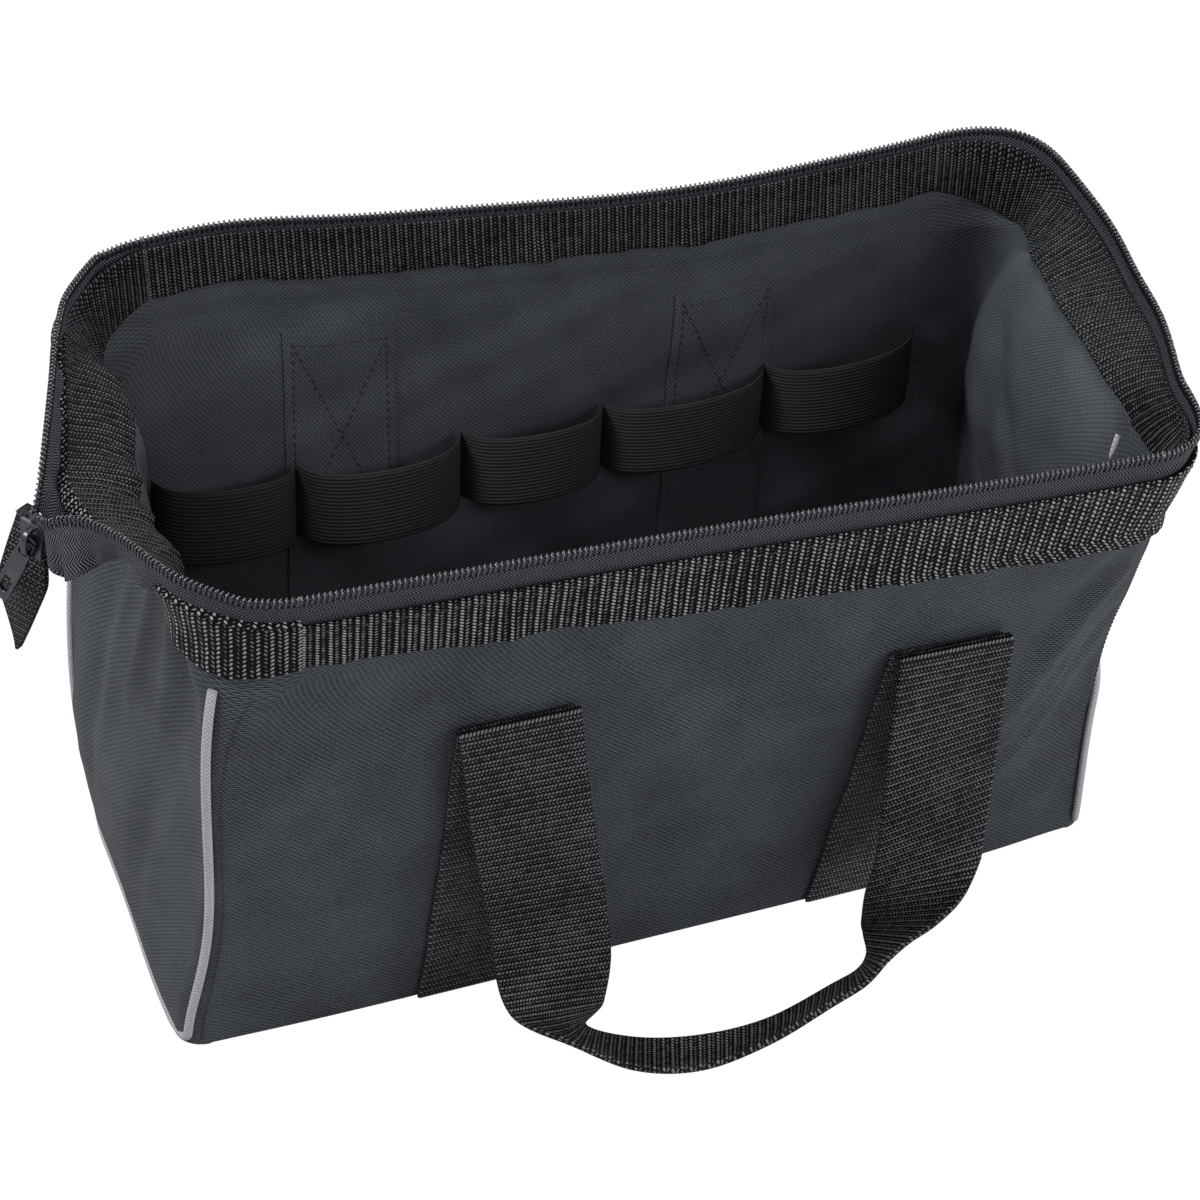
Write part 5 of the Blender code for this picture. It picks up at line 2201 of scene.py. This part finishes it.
@dataclass
class Base(Part):
    """The base: its cloth, the lining over its board, and the straps under it."""

    strap_x: float = 0.073
    strap_reach: float = 0.0570
    strap_height: float = 0.0010
    strap_half: float = 0.020
    strap_half_thickness: float = 0.0008

    def sheet(self, name: str, half: Pair, low: float, high: float, finish: Finish, puff: float) -> Piece:
        """Builds a flat sheet with round corners.

        Args:
            name: its name.
            half: half its length and half its depth.
            low: its underside's height.
            high: its top's height.
            finish: its finish.
            puff: how far its top stands up in the middle.

        Returns:
            The sheet.
        """
        half_x, half_y = half
        share = np.linspace(-1.0, 1.0, 61)[:, None]
        section = rounded_section(half_y, (high - low) / 2, 24)[None]
        y = section[..., 0] * (1 - 0.006 * np.abs(share) ** 24 / half_y)
        swell = puff * np.clip(1 - share**4, 0, 1) * np.clip(1 - (section[..., 0] / half_y) ** 4, 0, 1)
        z = (low + high) / 2 + section[..., 1] + np.where(section[..., 1] > 0, swell, 0.0)
        points = FORM.settle(np.stack([np.broadcast_to(share * half_x, y.shape), y, z], axis=-1))
        return loft(name, points, finish, strip_caps=False)

    def build(self) -> None:
        """Builds the base's cloth, lining, straps and board."""
        cloth = self.sheet("base_cloth", (0.1605, 0.0552), 0.0020, 0.0036, Finishes.cloth, 0.0)
        self.fasten(cloth, "bag_base", "base_panel")
        lining = self.sheet("base_lining", (0.1600, 0.0545), 0.0066, 0.0072, Finishes.lining, 0.0008)
        self.fasten(lining, "bag_base", "base_panel")
        section = rounded_section(self.strap_half, self.strap_half_thickness)
        across = np.linspace(-self.strap_reach, self.strap_reach, 60)
        for end in End:
            places = (np.full(60, end.value * self.strap_x), across, np.full(60, self.strap_height))
            line = np.stack(places, axis=1)
            wide = np.tile((1.0, 0.0, 0.0), (60, 1))
            strap = ribbon(f"base_{end.word}_webbing", FORM.settle(line), wide, section, Finishes.webbing)
            self.fasten(strap, "bag_base", f"base_{end.word}_strap")
        board = self.sheet("stiff_board", (0.1540, 0.0500), 0.0040, 0.0062, Finishes.board, 0.0)
        self.fasten(board, "bag_base", "base_board")


@dataclass
class Studio:
    """A pale floor, soft light and the camera."""

    azimuth: float = -22.31
    elevation: float = 39.56
    roll: float = 4.5
    lens: float = 105.0
    distance: float = 1.168
    target: Place = (-0.0117, 0.0, 0.104)
    bleach: float = 0.96
    floor_grey: Colour = (0.42, 0.42, 0.42)
    floor_half: float = 6.0
    glow: float = 1.06
    sky: float = 0.50
    lamp_size: float = 0.8
    lamps: tuple[tuple[str, Place, float], ...] = (
        ("key", (-1.5, 0.05, 1.75), 29.0),
        ("fill", (0.75, -1.0, 0.62), 9.0),
        ("back", (0.5, 1.2, 1.5), 14.0),
    )

    def build(self) -> None:
        """Builds the floor, the lights, the world and the camera."""
        self.floor()
        for name, place, power in self.lamps:
            self.light(name, place, power)
        self.world()
        self.camera()
        bpy.context.scene.view_settings.view_transform = "Standard"

    def floor(self) -> None:
        """Lays a wide pale floor."""
        mesh = bpy.data.meshes.new("floor")
        half = self.floor_half
        corners = [(-half, -half, 0), (half, -half, 0), (half, half, 0), (-half, half, 0)]
        mesh.from_pydata(corners, [], [(0, 1, 2, 3)])
        floor = placed("floor", mesh)
        graph = Graph("floor")
        graph.surface(Base_Color=(*self.floor_grey, 1.0), Roughness=0.9)
        glow = graph.node("ShaderNodeEmission", {"Color": WHITE, "Strength": self.glow})
        seen = Signal(graph, graph.node("ShaderNodeLightPath").outputs["Is Camera Ray"]) * self.bleach
        both = graph.node("ShaderNodeMixShader", {0: seen, 1: graph.shader.outputs[0], 2: glow.outputs[0]})
        graph.feed(graph.tree.nodes["Material Output"].inputs["Surface"], both.outputs[0])
        mesh.materials.append(graph.material)

    def light(self, name: str, place: Place, power: float) -> None:
        """Hangs one soft light that faces the bag.

        Args:
            name: its name.
            place: where it hangs.
            power: its power in watts.
        """
        data = bpy.data.lights.new(name, "AREA")
        data.size = self.lamp_size
        data.energy = power
        lamp = placed(name, data)
        lamp.location = place
        lamp.rotation_mode = "QUATERNION"
        lamp.rotation_quaternion = (Vector((0, 0, 0.1)) - Vector(place)).to_track_quat("-Z", "Y")

    def world(self) -> None:
        """Lights the scene with plain white, and shows it behind the floor."""
        world = bpy.data.worlds.new("studio")
        bpy.context.scene.world = world
        world.use_nodes = True
        graph = Nodes(world.node_tree)
        lit = graph.tree.nodes["Background"]
        graph.feed(lit.inputs["Color"], WHITE)
        graph.feed(lit.inputs["Strength"], self.sky)
        plain = graph.node("ShaderNodeBackground", {"Color": WHITE})
        seen = graph.node("ShaderNodeLightPath").outputs["Is Camera Ray"]
        both = graph.node("ShaderNodeMixShader", {0: seen, 1: lit.outputs[0], 2: plain.outputs[0]})
        graph.feed(graph.tree.nodes["World Output"].inputs["Surface"], both.outputs[0])

    def camera(self) -> None:
        """Sets the camera where the photograph was taken from."""
        angles = (self.azimuth, self.elevation, self.roll)
        azimuth, elevation, roll = (math.radians(angle) for angle in angles)
        level = math.cos(elevation)
        back = Vector((math.sin(azimuth) * level, -math.cos(azimuth) * level, math.sin(elevation)))
        right = Vector((math.cos(azimuth), math.sin(azimuth), 0.0))
        up = back.cross(right)
        across = right * math.cos(roll) + up * math.sin(roll)
        upwards = -right * math.sin(roll) + up * math.cos(roll)
        data = bpy.data.cameras.new("camera")
        data.lens = self.lens
        data.sensor_width = 36.0
        camera = placed("camera", data)
        turn = Matrix((across, upwards, back)).transposed().to_4x4()
        camera.matrix_world = Matrix.Translation(Vector(self.target) + back * self.distance) @ turn
        bpy.context.scene.camera = camera


def main() -> None:
    """Builds the bag piece by piece, then its studio."""
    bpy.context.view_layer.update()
    coils, stitches = CoilGrowth(), StitchGrowth()
    Base(coils, stitches).build()
    for side in Side:
        Wall(coils, stitches, side).build()
        FrameWire(coils, stitches, side).build()
        Handle(coils, stitches, side).build()
    ToolLoops(coils, stitches).build()
    for end in End:
        SoftEnd(coils, stitches, end).build()
    ZipTail(coils, stitches).build()
    Studio().build()


if __name__ == "__main__":
    main()
